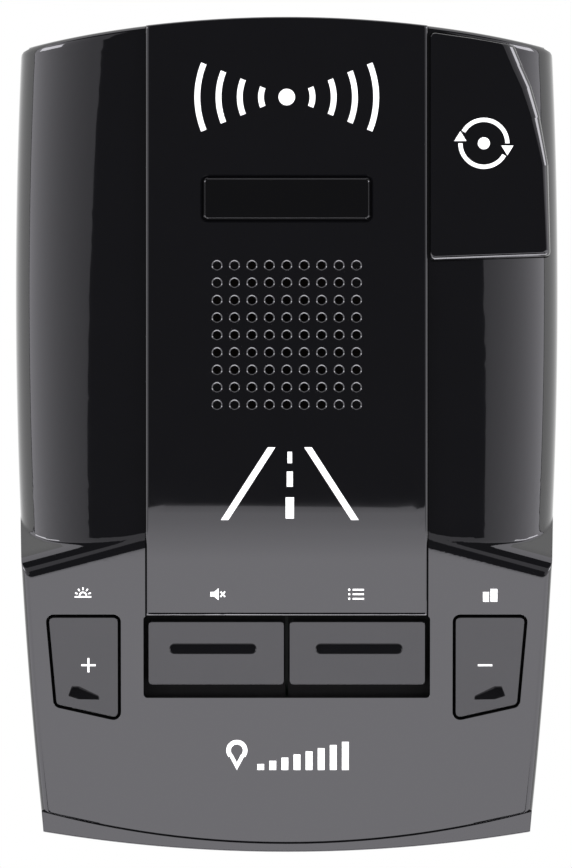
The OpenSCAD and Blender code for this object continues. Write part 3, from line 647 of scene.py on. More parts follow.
def make_cover():
    outer = [0.5 + 0.5 * math.sin(math.pi / 2 * k / 44) for k in range(45)]
    columns = [-u for u in reversed(outer)] + spread([-0.5, 0.5], [20])[1:-1] + outer
    rows = [-1 + 0.08 * (1 - math.cos(math.pi / 2 * k / 12)) for k in range(12)]
    rows += spread([-0.92, -0.56, -0.12, 0.9], [12, 76, 36])
    rows += [0.9 + 0.1 * math.sin(math.pi / 2 * k / 12) for k in range(1, 13)]
    cover = field("Top_cover", columns, rows, cover_point,
                  [(0.0, PARTING_Z + 0.25 * MM), (0.25 * MM, PARTING_Z)])
    hollow = field("Hollow", crowded(60), crowded(80), hollow_point, [(0.0, PARTING_Z - MM)])
    tunnel_half = SLOT_HALF + SLOT_WALL
    tunnel = block("Tunnel", (-tunnel_half, HIGH.y - SLOT_DEPTH - SLOT_WALL, CATCH_LOW.z - SLOT_WALL),
                   (tunnel_half, HIGH.y, HIGH.z))
    cut(hollow, tunnel)
    channel = block("Channel", (-SEAM_X - PANEL_GAP, PANEL_FRONT - PANEL_GAP, CHANNEL_Z),
                    (SEAM_X + PANEL_GAP, HIGH.y + MM, HIGH.z + MM))
    grille = drum("Grille", SPEAKER, GRILLE_R, CEILING_Z - MM, CHANNEL_Z + MM)
    guide = block("Guide", (GUIDE_LOW.x - PANEL_GAP, GUIDE_LOW.y - PANEL_GAP, CEILING_Z - MM),
                  (GUIDE_HIGH.x + PANEL_GAP, GUIDE_HIGH.y + PANEL_GAP, CHANNEL_Z + MM))
    seat = prism("Seat", grow(pod_plan(), PANEL_GAP), POD_LOW.z, HIGH.z + MM)
    slot = block("Slot", (-SLOT_HALF, HIGH.y - SLOT_DEPTH, CATCH_LOW.z), (SLOT_HALF, HIGH.y + MM, SLOT_TOP))
    well = deck_opening("Well", rounded(rectangle(*WELL), 0.5 * MM), KEY_EDGE)
    keys = [deck_opening("Opening", side_opening(side), KEY_EDGE) for side in (-1, 1)]
    display = block("Display_opening", (-DISPLAY_HALF, LOW.y, PARTING_Z - MM),
                    (DISPLAY_HALF, LOW.y + DISPLAY_DEPTH, DISPLAY_Z[1]))
    reach = LIP_REACH + 0.3 * MM
    pockets = [lip_pocket(rectangle(WELL[0] - reach, WELL[1] - reach, WELL[2] + reach, WELL[3] + reach))]
    pockets += [lip_pocket(grow(side_opening(side), LIP_REACH + 0.15 * MM)) for side in (-1, 1)]
    cut(cover, hollow, display, channel, grille, guide, seat, slot, well, *keys, *pockets)
    clean_flats(cover)
    smooth(cover)
    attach(cover, "root")
    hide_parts("top_cover")
    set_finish(cover, "gloss_black_abs")
    return cover


# ---------------------------------------------------------------- panel, lens and pod


def claim(obj, node, slot, body="root"):
    """Hides the CAD node that the piece stands for, puts the piece on its body and sets the slot it is
    finished from.
    """
    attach(obj, body)
    if node:
        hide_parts(node)
    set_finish(obj, slot)
    return obj


def panel_point(u, v, inset):
    edge = 0.35 * MM
    x = u * (PANEL_HIGH.x - inset)
    y0, y1 = PANEL_FRONT + inset, rear_y(x, inset)
    y = y0 + (y1 - y0) * (v + 1) / 2
    z = top_line(y) - edge_fall(PANEL_HIGH.x - abs(x), edge)
    return x, y, z - edge_fall(y - y0, edge) - edge_fall(y1 - y, edge)


def sound_holes():
    """One cutter for all the countersunk sound holes."""
    fresh()
    bpy.ops.mesh.primitive_circle_add(vertices=24, radius=MM, fill_type="NGON")
    first = named("Sound_holes")
    turns = [2 * math.pi * k / 24 for k in range(24)]
    profile = [(0.45, CHANNEL_Z - MM), (0.45, HIGH.z - 0.3 * MM), (0.5, HIGH.z - 0.2 * MM),
               (0.58, HIGH.z - 0.1 * MM), (0.71, HIGH.z - 0.015 * MM), (0.71, HIGH.z + MM)]
    lay(first, [[(r * MM * math.cos(a), r * MM * math.sin(a), z) for a in turns] for r, z in profile])
    holes = [copy_of(first, "Sound_hole", (HOLE_PITCH * i, SPEAKER.y + HOLE_PITCH * j, 0.0))
             for i in range(-4, 5) for j in range(-4, 5)]
    bpy.data.objects.remove(first)
    return join("Sound_holes", holes)


def lens_outline(out=0.0):
    return grow(rounded(rectangle(LENS_LOW.x, LENS_LOW.y, LENS_HIGH.x, LENS_HIGH.y), 0.8 * MM), out)


def make_panel():
    panel = field("Centre_panel", crowded(40), crowded(80), panel_point, [(0.0, CHANNEL_Z)])
    clean_flats(panel)
    flare = [(lens_outline(0.02 * MM), CHANNEL_Z - MM), (lens_outline(0.02 * MM), HIGH.z - 0.45 * MM),
             (lens_outline(0.2 * MM), HIGH.z - 0.25 * MM), (lens_outline(0.25 * MM), HIGH.z + MM)]
    opening = loft("Lens_opening", [[(x, y, z) for x, y in outline] for outline, z in flare])
    cut(panel, opening, sound_holes())
    return claim(smooth(panel), "centre_panel", "gloss_black_abs")


def make_lens():
    rings = [(lens_outline(), LENS_LOW.z), (lens_outline(), LENS_HIGH.z - 0.4 * MM),
             (lens_outline(-0.4 * MM), LENS_HIGH.z - 0.02 * MM), (lens_outline(-0.45 * MM), LENS_HIGH.z)]
    lens = loft("Indicator_lens", [[(x, y, z) for x, y in outline] for outline, z in rings])
    return claim(smooth(lens), "indicator_lens", "smoked_lens")


def make_pod():
    """The hood. Its outer top edge is bevelled wide at the windscreen and narrow towards the driver."""
    corners = pod_corners()
    edges = [0.12, 0.12, 0.12, 1.7, 1.6, 1.5, 1.1, 0.6, 0.6]
    rings = [[(x, y, POD_LOW.z) for x, y in pod_plan()]]
    for out, drop in quarter(1.0, 5):
        ring = rounded(inset_edges(corners, [e * MM * out for e in edges]), 0.6 * MM)
        rings.append([(x, y, POD_HIGH.z - 0.9 * MM * drop) for x, y in ring])
    pod = loft("Pod_hood", rings)
    inside = rounded(inset_edges(corners, [POD_WALL] * len(corners)), 0.3 * MM)
    inner = prism("Pod_hollow", inside, POD_LOW.z - MM, POD_HIGH.z - POD_WALL)
    low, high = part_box("pod_rear_lens")
    rear = block("Rear_window", (low.x, POD_LOW.y - MM, low.z), (high.x, high.y + MM, high.z))
    low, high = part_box("pod_front_lens")
    front = block("Front_window", (low.x, low.y - MM, low.z), (high.x, HIGH.y + MM, high.z))
    cut(pod, inner, rear, front)
    return claim(smooth(pod), "pod_cover", "gloss_black_abs")


# ---------------------------------------------------------------- bezel and lower housing


def strip(front, side, seam, steps=40):
    """Plan of the bezel, from its front arc back along the seam. Each argument insets one of its edges."""
    reach = half_at(LOW.y + 5 * MM, side)
    xs = [reach * math.sin(math.pi / 2 * (2 * k / steps - 1)) for k in range(steps + 1)]
    ahead = [(x, front_y(x, front)) for x in xs]
    behind = [(x, seam_y(x) - seam) for x in reversed(xs)]
    return [(math.copysign(min(abs(x), half_at(y, side)), x), y) for x, y in ahead + behind]


def make_bezel():
    rings = []
    low_round = sizes().bottom_round
    for out, drop in reversed(quarter(1.0, 6)):
        plan = strip(0.96 * MM * out, low_round * out, 0.0)
        rings.append([(x, y, HOUSING_Z + low_round * drop) for x, y in plan])
    for out, drop in quarter(0.15 * MM):
        plan = strip(out, out, out)
        rings.append([(x, y, top_line(y) - drop) for x, y in plan])
    bezel = loft("Display_bezel", rings)
    low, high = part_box("display_window")
    mouth = block("Window", (low.x, LOW.y - MM, low.z), (high.x, LOW.y + 5 * MM, high.z))
    cut(bezel, mouth)
    return claim(smooth(bezel, 40), "display_bezel", "gloss_black_abs")


def case_plan(inset, seam_inset=0.0, steps=28):
    """Plan of the case behind the seam, anticlockwise from the left front corner."""
    half_f = half_at(LOW.y + 4 * MM, inset)
    half_r = half_at(HIGH.y - 4 * MM, inset)
    corners = [(-half_f, seam_y(half_f, seam_inset)), (half_f, seam_y(half_f, seam_inset)),
               (half_r, rear_y(half_r, inset)), (-half_r, rear_y(half_r, inset))]
    radius = sizes().corner
    clear = 3 * radius

    def edge(k):
        (xa, ya), (xb, yb) = corners[k], corners[(k + 1) % 4]
        out = []
        for n in range(1, steps):
            t = n / steps
            if k == 0:
                x = xa + (xb - xa) * t
                out.append((x, seam_y(x, seam_inset)))
            elif k == 2:
                x = xa + (xb - xa) * t
                out.append((x, rear_y(x, inset)))
            else:
                y = ya + (yb - ya) * t
                out.append((math.copysign(half_at(y, inset), xa), y))
        return [p for p in out if min((Vector(p) - Vector(c)).length for c in corners) > clear]

    edges = [edge(k) for k in range(4)]
    plan = []
    for k in range(4):
        plan += corner_arc(edges[k - 1][-1], corners[k], edges[k][0], radius) + edges[k]
    return plan


def case_loft(name, insets):
    """A solid through (inset, seam inset, z)."""
    return loft(name, [[(x, y, z) for x, y in case_plan(inset, seam)] for inset, seam, z in insets])


def make_housing():
    s = sizes()
    r = s.bottom_round
    rings = [(r * out, 0.0, HOUSING_Z + r * drop) for out, drop in reversed(quarter(1.0, 8))]
    rings += [(0.0, 0.0, PARTING_Z - 0.25 * MM), (0.25 * MM, 0.25 * MM, PARTING_Z)]
    housing = case_loft("Lower_housing", rings)
    floor = HOUSING_Z + s.wall
    rings = [(s.wall + (r - s.wall / 2) * out, s.wall, floor + (r - s.wall / 2) * drop)
             for out, drop in reversed(quarter(1.0, 6))]
    hollow = case_loft("Housing_hollow", rings + [(s.wall, s.wall, PARTING_Z + MM)])
    cut(housing, hollow)
    for x, y in SCREWS:
        boss = drum("Boss", (x * MM, y * MM), BOSS_R * MM, floor - 0.5 * MM, PARTING_Z)
        cut(housing, boss, operation="UNION")
    for x, y in SCREWS:
        cut(housing, drum("Counterbore", (x * MM, y * MM), HEAD_R * MM, 0.0, 5.2 * MM),
            drum("Shank", (x * MM, y * MM), SHANK_R * MM, 4 * MM, PARTING_Z + MM))
    for x, y in FEET:
        cut(housing, drum("Foot_recess", (x * MM, y * MM), FOOT_R * MM, 0.0, 1.8 * MM))
    low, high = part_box("rating_label")
    label = prism("Label_recess", rounded(rectangle(low.x, low.y, high.x, high.y), 0.2 * MM), 0.0, high.z)
    centre = Vector((-HALF_W, JACK_Y * MM, JACK_Z * MM))
    fresh()
    bpy.ops.mesh.primitive_cylinder_add(vertices=48, radius=JACK_R * MM, depth=10 * MM, location=centre,
                                        rotation=(0, math.pi / 2, 0))
    jack = settle(named("Jack_hole"))
    low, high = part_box("usb_socket")
    gap = 0.15 * MM
    usb = block("USB_hole", (HALF_W - 5 * MM, low.y - gap, USB_Z[0] - gap),
                (HALF_W + MM, high.y + gap, USB_Z[1] + gap))
    display = block("Display_opening", (-DISPLAY_HALF, LOW.y, DISPLAY_Z[0]),
                    (DISPLAY_HALF, LOW.y + DISPLAY_DEPTH, PARTING_Z + MM))
    cut(housing, label, jack, usb, display)
    return claim(smooth(housing, 40), "lower_housing", "satin_black_abs")


# ---------------------------------------------------------------- keys


def key_cap(name, cap, lip, edge, grooves, node, body):
    """A key with a rounded cap, the lip that holds it back, and its stem. Cap and lip are outlines."""
    bottom = -KEY_LIP - LIP_T
    rings = [(cap, -KEY_LIP - LIP_T / 2)]
    key = deck_loft(name, rings + [(grow(cap, -out), -drop) for out, drop in quarter(edge)])
    cut(key, deck_loft("Lip", [(lip, bottom), (lip, -KEY_LIP)]), operation="UNION")
    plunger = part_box(node.replace("button", "plunger"))
    at = (plunger[0].x + plunger[1].x) / 2
    along = ((plunger[0].y + plunger[1].y) / 2 - deck_origin()[0]) / math.cos(sizes().slope) - 0.7 * MM
    half = 1.5 * MM
    stem = deck_loft("Stem", [(rectangle(at - half, along - half, at + half, along + half), z)
                              for z in (-5 * MM, bottom + 0.2 * MM)])
    cut(key, stem, operation="UNION")
    cut(key, *grooves)
    surface = Vector(on_deck(0.0, 0.0, 0.0))
    up = Vector(on_deck(0.0, 0.0, 1.0)) - surface
    # Faces more than 1.2 mm under the deck surface (the lip and stem) take the second finish: a darker matt
    # black painted as shade in the gaps round the key
    for face in key.data.polygons:
        face.material_index = int((face.center - surface).dot(up) < -1.2 * MM)
    return claim(smooth(key, 40), node, "key_black", body)


def groove(outline, depth, edge):
    """A cutter for a groove in the deck whose floor falls towards the windscreen."""
    ys = [y for _, y in outline]
    low, span = min(ys), max(ys) - min(ys)

    def ring(inset, share):
        plan = grow(outline, -inset)
        return [on_deck(x, y, -depth * share * (0.3 + 0.7 * (y - low) / span)) for x, y in plan]

    above = [on_deck(x, y, MM) for x, y in grow(outline, 0.04 * MM)]
    return loft("Groove", [ring(edge, 1.0), ring(edge * 0.4, 0.7), ring(0.0, 0.05), above])


def make_keys():
    y0, y1 = -10.985 * MM, -2.585 * MM
    made = []
    middle_keys = [(-1, "Mute_key", "mute_button", "mute_key"), (1, "Program_key", "prog_button", "prog_key")]
    side_keys = [(-1, "Plus_key", "plus_button", "plus_key"), (1, "Minus_key", "minus_button", "minus_key")]
    for side, name, node, body in middle_keys:
        x0, x1 = sorted((side * 0.37 * MM, side * 18.27 * MM))
        cap = rounded(rectangle(x0, y0, x1, y1), 0.5 * MM)
        g0, g1 = (-15.5 * MM, -4.0 * MM) if side < 0 else (3.8 * MM, 15.3 * MM)
        at = -6.2 * MM
        slot = rounded(rectangle(g0, at - 0.72 * MM, g1, at + 0.72 * MM), 0.7 * MM)
        low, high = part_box(node)
        lip = rectangle(low.x, WELL[1] - LIP_REACH, high.x, WELL[3] + LIP_REACH)
        made.append(key_cap(name, cap, lip, 0.1 * MM, [groove(slot, 0.55 * MM, 0.12 * MM)], node, body))
    for side, name, node, body in side_keys:
        cap = grow(side_opening(side), -0.4 * MM)
        points = [(28.9, -12.5), (28.4, -11.2), (27.5, -11.2), (24.9, -12.45), (24.7, -13.0), (27.5, -12.95)]
        scoop = [(side * x * MM, y * MM) for x, y in rounded(points, 0.15)][::side]
        lip = grow(side_opening(side), LIP_REACH)
        made.append(key_cap(name, cap, lip, 0.06 * MM, [groove(scoop, 0.85 * MM, 0.12 * MM)], node, body))
    return made


# ---------------------------------------------------------------- printed marks


def bar(x0, y0, x1, y1, width):
    """Outline of a straight stroke."""
    d = Vector((x1 - x0, y1 - y0)).normalized() * width / 2
    return [(x0 + d.y, y0 - d.x), (x1 + d.y, y1 - d.x), (x1 - d.y, y1 + d.x), (x0 - d.y, y0 + d.x)]


def band(x, y, radius, start, end, width, steps=20):
    """Outline of a curved stroke, with its angles in degrees."""
    turns = [math.radians(start + (end - start) * k / steps) for k in range(steps + 1)]
    outer, inner = radius + width / 2, radius - width / 2
    return ([(x + outer * math.cos(a), y + outer * math.sin(a)) for a in turns]
            + [(x + inner * math.cos(a), y + inner * math.sin(a)) for a in reversed(turns)])


def disc(x, y, radius, steps=20):
    turns = [2 * math.pi * k / steps for k in range(steps)]
    return [(x + radius * math.cos(a), y + radius * math.sin(a)) for a in turns]


def printed(name, marks, body="root"):
    """Thin ink on the top line, which is the deck's and the panel's surface. Marks are outlines in
    millimetres."""
    pieces = []
    for outline in marks:
        rings = []
        for z in (-0.03 * MM, 0.012 * MM):
            rings.append([(x * MM, y * MM, top_line(y * MM) + z) for x, y in outline])
        pieces.append(loft(name, rings))
    ink = join(name, pieces)
    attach(ink, body)
    finish_with(ink, "white_ink")
    return ink


def sun_mark(x, y):
    near, far = 0.75, 1.1
    rays = []
    for a in (math.radians(t) for t in (20, 55, 90, 125, 160)):
        rays.append(bar(x + near * math.cos(a), y + near * math.sin(a),
                        x + far * math.cos(a), y + far * math.sin(a), 0.2))
    return [band(x, y, 0.45, 0, 180, 0.2), bar(x - 1.1, y - 0.15, x + 1.1, y - 0.15, 0.2)] + rays


def crossed_speaker_mark(x, y):
    horn = [(x - 0.9, y - 0.3), (x - 0.4, y - 0.3), (x + 0.2, y - 0.8),
            (x + 0.2, y + 0.8), (x - 0.4, y + 0.3), (x - 0.9, y + 0.3)]
    cross = [bar(x + 0.45, y - s * 0.35, x + 1.05, y + s * 0.35, 0.2) for s in (1, -1)]
    return [horn] + cross


def list_mark(x, y):
    rows = [-0.6, 0.0, 0.6]
    lines = [bar(x - 0.5, y + r, x + 1.0, y + r, 0.22) for r in rows]
    return lines + [disc(x - 0.95, y + r, 0.15) for r in rows]


def building_mark(x, y):
    return [rectangle(x - 1.0, y - 0.8, x - 0.2, y + 0.5), rectangle(x, y - 0.8, x + 0.9, y + 0.9)]


def pin_and_bars(x, y):
    """A location pin and a row of rising signal bars."""
    at = x - 6.9
    tip = [(at - 1.1, y + 0.05), (at, y - 2.0), (at + 1.1, y + 0.05),
           (at + 0.55, y + 0.05), (at, y - 1.0), (at - 0.55, y + 0.05)]
    pin = [band(at, y + 0.6, 1.1, -40, 220, 0.6), tip]
    lefts = [x - 4.2 + 1.6 * k for k in range(8)]
    bars = [rectangle(left, y - 2.0, left + 0.9, y - 1.2 + 0.42 * k) for k, left in enumerate(lefts)]
    return pin + bars


def waves_mark(x, y):
    """A transmitter with waves on both sides."""
    sides = [band(x, y, r, a - 22, a + 22, 0.75) for r in (3.4, 6.2, 9.0, 11.8) for a in (0, 180)]
    return [disc(x, y, 1.1)] + sides


def road_mark(x, y):
    """A road that narrows towards the horizon."""
    lines = []
    for k in range(5):
        y0, y1 = y - 4.8 + 1.92 * k, y - 4.8 + 1.92 * (k + 1)
        x0, x1 = 8.6 - 1.24 * k, 8.6 - 1.24 * (k + 1)
        lines += [[(x + s * (x0 - 0.5), y0), (x + s * (x0 + 0.5), y0), (x + s * (x1 + 0.5), y1),
                   (x + s * (x1 - 0.5), y1)] for s in (-1, 1)]
    spans = [(-4.6, -1.8, 1.1), (-0.4, 1.6, 0.8), (2.7, 4.2, 0.6)]
    dashes = [bar(x, y + y0, x, y + y1, width) for y0, y1, width in spans]
    return lines + dashes


def turn_mark(x, y):
    """A full turn round a point."""
    heads = [[(x + s * 3.9, y - s * 0.3), (x + s * 2.3, y - s * 0.3), (x + s * 3.1, y - s * 1.6)]
             for s in (-1, 1)]
    return [band(x, y, 3.1, 0, 150, 0.55), band(x, y, 3.1, 180, 330, 0.55), disc(x, y, 0.8)] + heads


def make_marks():
    printed("Plus_mark", [bar(-27.15, -30.4, -25.25, -30.4, 0.25), bar(-26.2, -31.35, -26.2, -29.45, 0.25)],
            "plus_key")
    printed("Minus_mark", [bar(25.25, -30.4, 27.15, -30.4, 0.25)], "minus_key")
    above_keys = sun_mark(-26.9, -21.2) + crossed_speaker_mark(-9.2, -21.0) + list_mark(9.2, -21.0)
    printed("Key_marks", above_keys + building_mark(26.9, -21.2))
    printed("Deck_mark", pin_and_bars(0.3, -42.3))
    printed("Panel_mark", waves_mark(0.0, 44.6))
    printed("Road_mark", road_mark(0.4, -6.4))
    printed("Pod_mark", turn_mark(26.0, 38.5))


# ---------------------------------------------------------------- materials


def linear(code):
    """Linear colour of an sRGB hex value."""
    parts = [int(code[i:i + 2], 16) / 255 for i in (1, 3, 5)]
    return tuple(c / 12.92 if c <= 0.04045 else ((c + 0.055) / 1.055) ** 2.4 for c in parts) + (1.0,)


def add(tree, kind, x, y, **settings):
    """Adds a node. Settings name its attributes or, failing that, its inputs."""
    node = tree.nodes.new(kind)
    node.location = (x, y)
    for key, value in settings.items():
        if hasattr(node, key):
            setattr(node, key, value)
        else:
            node.inputs[key.replace("_", " ")].default_value = value
    return node


def finish_of(name, colour, roughness, metallic=0.0, coat=0.0, grain=0.5, rough_spread=0.03,
              colour_spread=0.1, bump=0.002):
    """A finish whose colour, roughness and surface vary with noise. Grain and bump are in millimetres."""
    material = bpy.data.materials.get(name) or bpy.data.materials.new(name)
    material.use_nodes = True
    tree = material.node_tree
    tree.nodes.clear()
    out = add(tree, "ShaderNodeOutputMaterial", 400, 0)
    shader = add(tree, "ShaderNodeBsdfPrincipled", 100, 0, Metallic=metallic, IOR=1.5)
    shader.inputs["Coat Weight"].default_value = coat
    shader.inputs["Coat Roughness"].default_value = 0.02
    place = add(tree, "ShaderNodeTexCoord", -900, 0)
    noise = add(tree, "ShaderNodeTexNoise", -700, 0, Scale=1 / (grain * MM), Detail=3.0)
    rough = add(tree, "ShaderNodeMapRange", -400, 0)
    rough.inputs["To Min"].default_value = max(roughness - rough_spread, 0.0)
    rough.inputs["To Max"].default_value = min(roughness + rough_spread, 1.0)
    tint = add(tree, "ShaderNodeMix", -400, 300, data_type="RGBA")
    base = linear(colour)
    tint.inputs[6].default_value = base
    tint.inputs[7].default_value = tuple(min(c * (1 + colour_spread), 1.0) for c in base[:3]) + (1.0,)
    rise = add(tree, "ShaderNodeBump", -400, -300, Distance=bump * MM)
    link = tree.links.new
    link(place.outputs["Object"], noise.inputs["Vector"])
    link(noise.outputs["Fac"], rough.inputs["Value"])
    link(noise.outputs["Fac"], tint.inputs["Factor"])
    link(noise.outputs["Fac"], rise.inputs["Height"])
    link(rough.outputs["Result"], shader.inputs["Roughness"])
    link(tint.outputs[2], shader.inputs["Base Color"])
    link(rise.outputs["Normal"], shader.inputs["Normal"])
    link(shader.outputs["BSDF"], out.inputs["Surface"])
    return material


def make_finishes():
    c = colours()
    # Lacquered piano-black ABS: sharp reflections with a faint orange peel
    finish_of("gloss_black_abs", c.gloss_black, 0.06, coat=1.0, grain=6, bump=0.0006)
    # Spark-eroded ABS: dull, with a fine grain
    finish_of("satin_black_abs", c.satin_black, 0.42, grain=0.35, bump=0.02, rough_spread=0.06)
    # Key tops, a little softer than the shell
    finish_of("key_black", c.gloss_black, 0.14, coat=0.6, grain=4, bump=0.001)
    # Lips under the key tops, left as moulded: matt black, made darker than the keys as painted shade in the
    # gaps round them
    finish_of("key_lip_matt_and_painted_shade", "#030303", 0.9, grain=0.4, bump=0.01)
    # Smoked acrylic: black until lit from behind, with a hard shine
    finish_of("smoked_lens", "#050506", 0.04, coat=1.0, grain=8, bump=0.0003)
    # Infrared filter: black with a red cast
    finish_of("infrared_lens", "#16060A", 0.05, coat=1.0, grain=8, bump=0.0003)
    # Display window: dark glass with a blue-grey cast
    finish_of("display_glass", "#0A0C0E", 0.08, grain=5, bump=0.0005)
    # Black-green solder mask over copper, slightly wavy
    finish_of("circuit_board", "#08120D", 0.3, grain=1.2, bump=0.01, colour_spread=0.5)
    # Polyimide film: amber and half glossy
    finish_of("flex_lead", "#B06A1C", 0.35, grain=2, bump=0.005)
    # Acetal: off-white and waxy
    finish_of("white_pom", "#E6E4DC", 0.4, grain=1, bump=0.004)
    # Moulded component bodies: charcoal, matt
    finish_of("dark_component", "#161617", 0.55, grain=0.3, bump=0.01)
    # Die-cast zinc: grey, with a dull cast skin
    finish_of("cast_zinc", "#9A9B9E", 0.45, metallic=1.0, grain=0.8, bump=0.02, rough_spread=0.12)
    # Tin plate: bright and slightly streaky
    finish_of("tinned_steel", "#C3C4C6", 0.28, metallic=1.0, grain=1.5, bump=0.004, rough_spread=0.08)
    # Antenna ceramic: sand-coloured and dull
    finish_of("ceramic_patch", "#C9B48A", 0.5, grain=0.4, bump=0.006)
    # Pressed steel: dark grey, half bright
    finish_of("speaker_steel", "#5E6064", 0.38, metallic=1.0, grain=0.8, bump=0.006)
    # Pressed paper pulp: soft, fibrous
    finish_of("paper_cone", "#24211F", 0.85, grain=0.5, bump=0.05, colour_spread=0.4)
    # Rubber: matt, faintly mottled
    finish_of("black_rubber", "#121213", 0.75, grain=0.5, bump=0.02)
    # Capacitor cans: bright brushed aluminium
    finish_of("aluminium_can", "#C8CACC", 0.3, metallic=1.0, grain=1.0, bump=0.004)
    # Light guide: clear acrylic that looks pale
    finish_of("clear_acrylic", "#DDE4E4", 0.08, grain=6, bump=0.0004)
    # LED bodies: cream resin
    finish_of("led_body", "#E9E5C8", 0.3, grain=1, bump=0.003)
    # Zinc-plated screws: bluish and bright
    finish_of("zinc_screw", "#A9B0B8", 0.3, metallic=1.0, grain=0.6, bump=0.005, rough_spread=0.1)
    # Blank polyester label: pale grey film
    finish_of("label_film", "#B9BBBD", 0.4, grain=3, bump=0.002)
    # Pad-printing ink: flat white, slightly uneven
    finish_of("white_ink", c.ink, 0.55, grain=0.3, bump=0.002, colour_spread=0.03)
    for entry in frame["record"]["materials"]:
        for node in entry.get("nodes", []):
            finish_with(frame["nodes"][node], entry["slot"])
    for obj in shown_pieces():
        if obj.get("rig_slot") and not obj.get("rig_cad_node"):
            # Key pieces get a second finish for their lip faces, a darker matt black painted as shade in the
            # gaps
            lip = ["key_lip_matt_and_painted_shade"] if obj["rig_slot"] == "key_black" else []
            finish_with(obj, obj["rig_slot"], *lip)


def finish_with(obj, *names):
    """Gives obj these finishes, in the order of its faces' material numbers."""
    numbers = [face.material_index for face in obj.data.polygons]
    obj.data.materials.clear()
    for name in names:
        obj.data.materials.append(bpy.data.materials.get(name) or bpy.data.materials.new(name))
    for face, number in zip(obj.data.polygons, numbers):
        face.material_index = min(number, len(names) - 1)


# ---------------------------------------------------------------- stage


def glowing(name, strength, falloff=None, tint="#FAF8FF"):
    """A light card's or the floor's own light, seen from its front only. Falloff is (axis, start, end,
    first strength): between those two places on that axis the light grows to its full strength."""
    material = bpy.data.materials.new(name)
    material.use_nodes = True
    tree = material.node_tree
    tree.nodes.clear()
    out = add(tree, "ShaderNodeOutputMaterial", 600, 0)
    glow = add(tree, "ShaderNodeEmission", 0, 100, Color=linear(tint), Strength=strength)
    clear = add(tree, "ShaderNodeBsdfTransparent", 0, -100)
    mix = add(tree, "ShaderNodeMixShader", 300, 0)
    side = add(tree, "ShaderNodeNewGeometry", 0, 300)
    link = tree.links.new
    link(side.outputs["Backfacing"], mix.inputs[0])
    link(glow.outputs[0], mix.inputs[1])
    link(clear.outputs[0], mix.inputs[2])
    link(mix.outputs[0], out.inputs["Surface"])
    if falloff:
        place = add(tree, "ShaderNodeTexCoord", -800, 0)
        split = add(tree, "ShaderNodeSeparateXYZ", -600, 0)
        ramp = add(tree, "ShaderNodeMapRange", -400, 0)
        axis, start, end, first = falloff
        for key, value in zip(("From Min", "From Max", "To Min", "To Max"), (start, end, first, strength)):
            ramp.inputs[key].default_value = value
        link(place.outputs["Object"], split.inputs["Vector"])
        link(split.outputs[axis], ramp.inputs["Value"])
        link(ramp.outputs["Result"], glow.inputs["Strength"])
    return material


def card(name, centre, size, turn, strength, falloff=None, tip=0.0):
    """A flat light card, turned about Y and tipped about X, that isn't seen by the camera. Unturned, it
    shines downwards."""
    fresh()
    bpy.ops.mesh.primitive_plane_add(size=1, location=centre, rotation=(math.pi + tip, turn, 0))
    obj = named(name)
    obj.scale = (size[0], size[1], 1)
    bpy.ops.object.transform_apply(location=True, rotation=True, scale=True)
    obj.data.materials.append(glowing(name, strength, falloff))
    obj.visible_camera = False
    obj.visible_shadow = False
    obj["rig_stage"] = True
    return obj


def tent_side(side, y0, y1, top):
    """One side of a light tent between two places along Y: an arched sheet whose inner edge slants, with
    the strength top above and full strength below."""
    fresh()
    bpy.ops.mesh.primitive_grid_add(x_subdivisions=24, y_subdivisions=20, size=2)
    obj = named("Tent_side")
    bm = edit(obj)
    for v in bm.verts:
        along = y0 + (y1 - y0) * (v.co.y + 1) / 2
        first = math.radians(22 - 50 * max(min(along, 0.15), -0.15))
        turn = first + (math.radians(88) - first) * (v.co.x + 1) / 2
        v.co = (side * math.sin(turn), along, math.cos(turn))
    bmesh.update_edit_mesh(obj.data)
    if side > 0:
        bpy.ops.mesh.flip_normals()
    finish_edit()
    obj.data.materials.append(glowing("Tent_side", 1.9, ("Z", 0.93, 0.05, top)))
    obj.visible_camera = False
    obj.visible_shadow = False
    obj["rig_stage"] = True


def make_stage():
    scene = bpy.context.scene
    scene.view_settings.view_transform = "Standard"
    world = bpy.data.worlds.new("Studio")
    scene.world = world
    world.use_nodes = True
    world.node_tree.nodes["Background"].inputs["Color"].default_value = linear("#FFFFFF")
    world.node_tree.nodes["Background"].inputs["Strength"].default_value = 0.04
    fresh()
    bpy.ops.mesh.primitive_plane_add(size=6)
    floor = named("Floor")
    floor.data.materials.append(glowing("Floor", 1.0, tint="#FFFFFF"))
    floor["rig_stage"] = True
    card("Front_softbox", (0.0, -0.2115, 0.9), (1.16, 0.277), 0.0, 1.95, ("Y", -0.073, -0.17, 1.1))
    for side in (-1, 1):
        tent_side(side, -0.12, 1.0, 0.45)
        tent_side(side, -1.0, -0.12, 1.8)
        card("Window_card", (side * 0.85, 0.33, 0.42), (0.5, 0.26), side * math.radians(64), 7.0)
    card("Front_wall", (0.0, -1.0, 0.2), (1.9, 0.5), 0.0, 6.0, tip=math.radians(82))
    card("Rear_wall", (0.0, 1.0, 0.16), (1.9, 0.3), 0.0, 1.4, tip=-math.radians(82))
    fresh()
    bpy.ops.object.light_add(type="SUN", location=(0, 0, 1))
    sun = bpy.context.object
    sun.name = "Overhead_fill"
    sun.data.energy = 3.0
    sun.data.angle = math.radians(25)
    sun.visible_glossy = False
    sun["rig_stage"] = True
    fresh()
    bpy.ops.object.camera_add(location=(-0.1 * MM, 0.15 * MM, HIGH.z + CAMERA_RISE), rotation=(0, 0, 0))
    camera = bpy.context.object
    camera.name = "Camera"
    camera.data.lens = camera.data.sensor_width * CAMERA_RISE / PICTURE_SPAN
    scene.camera = camera


# ---------------------------------------------------------------- operators and panel


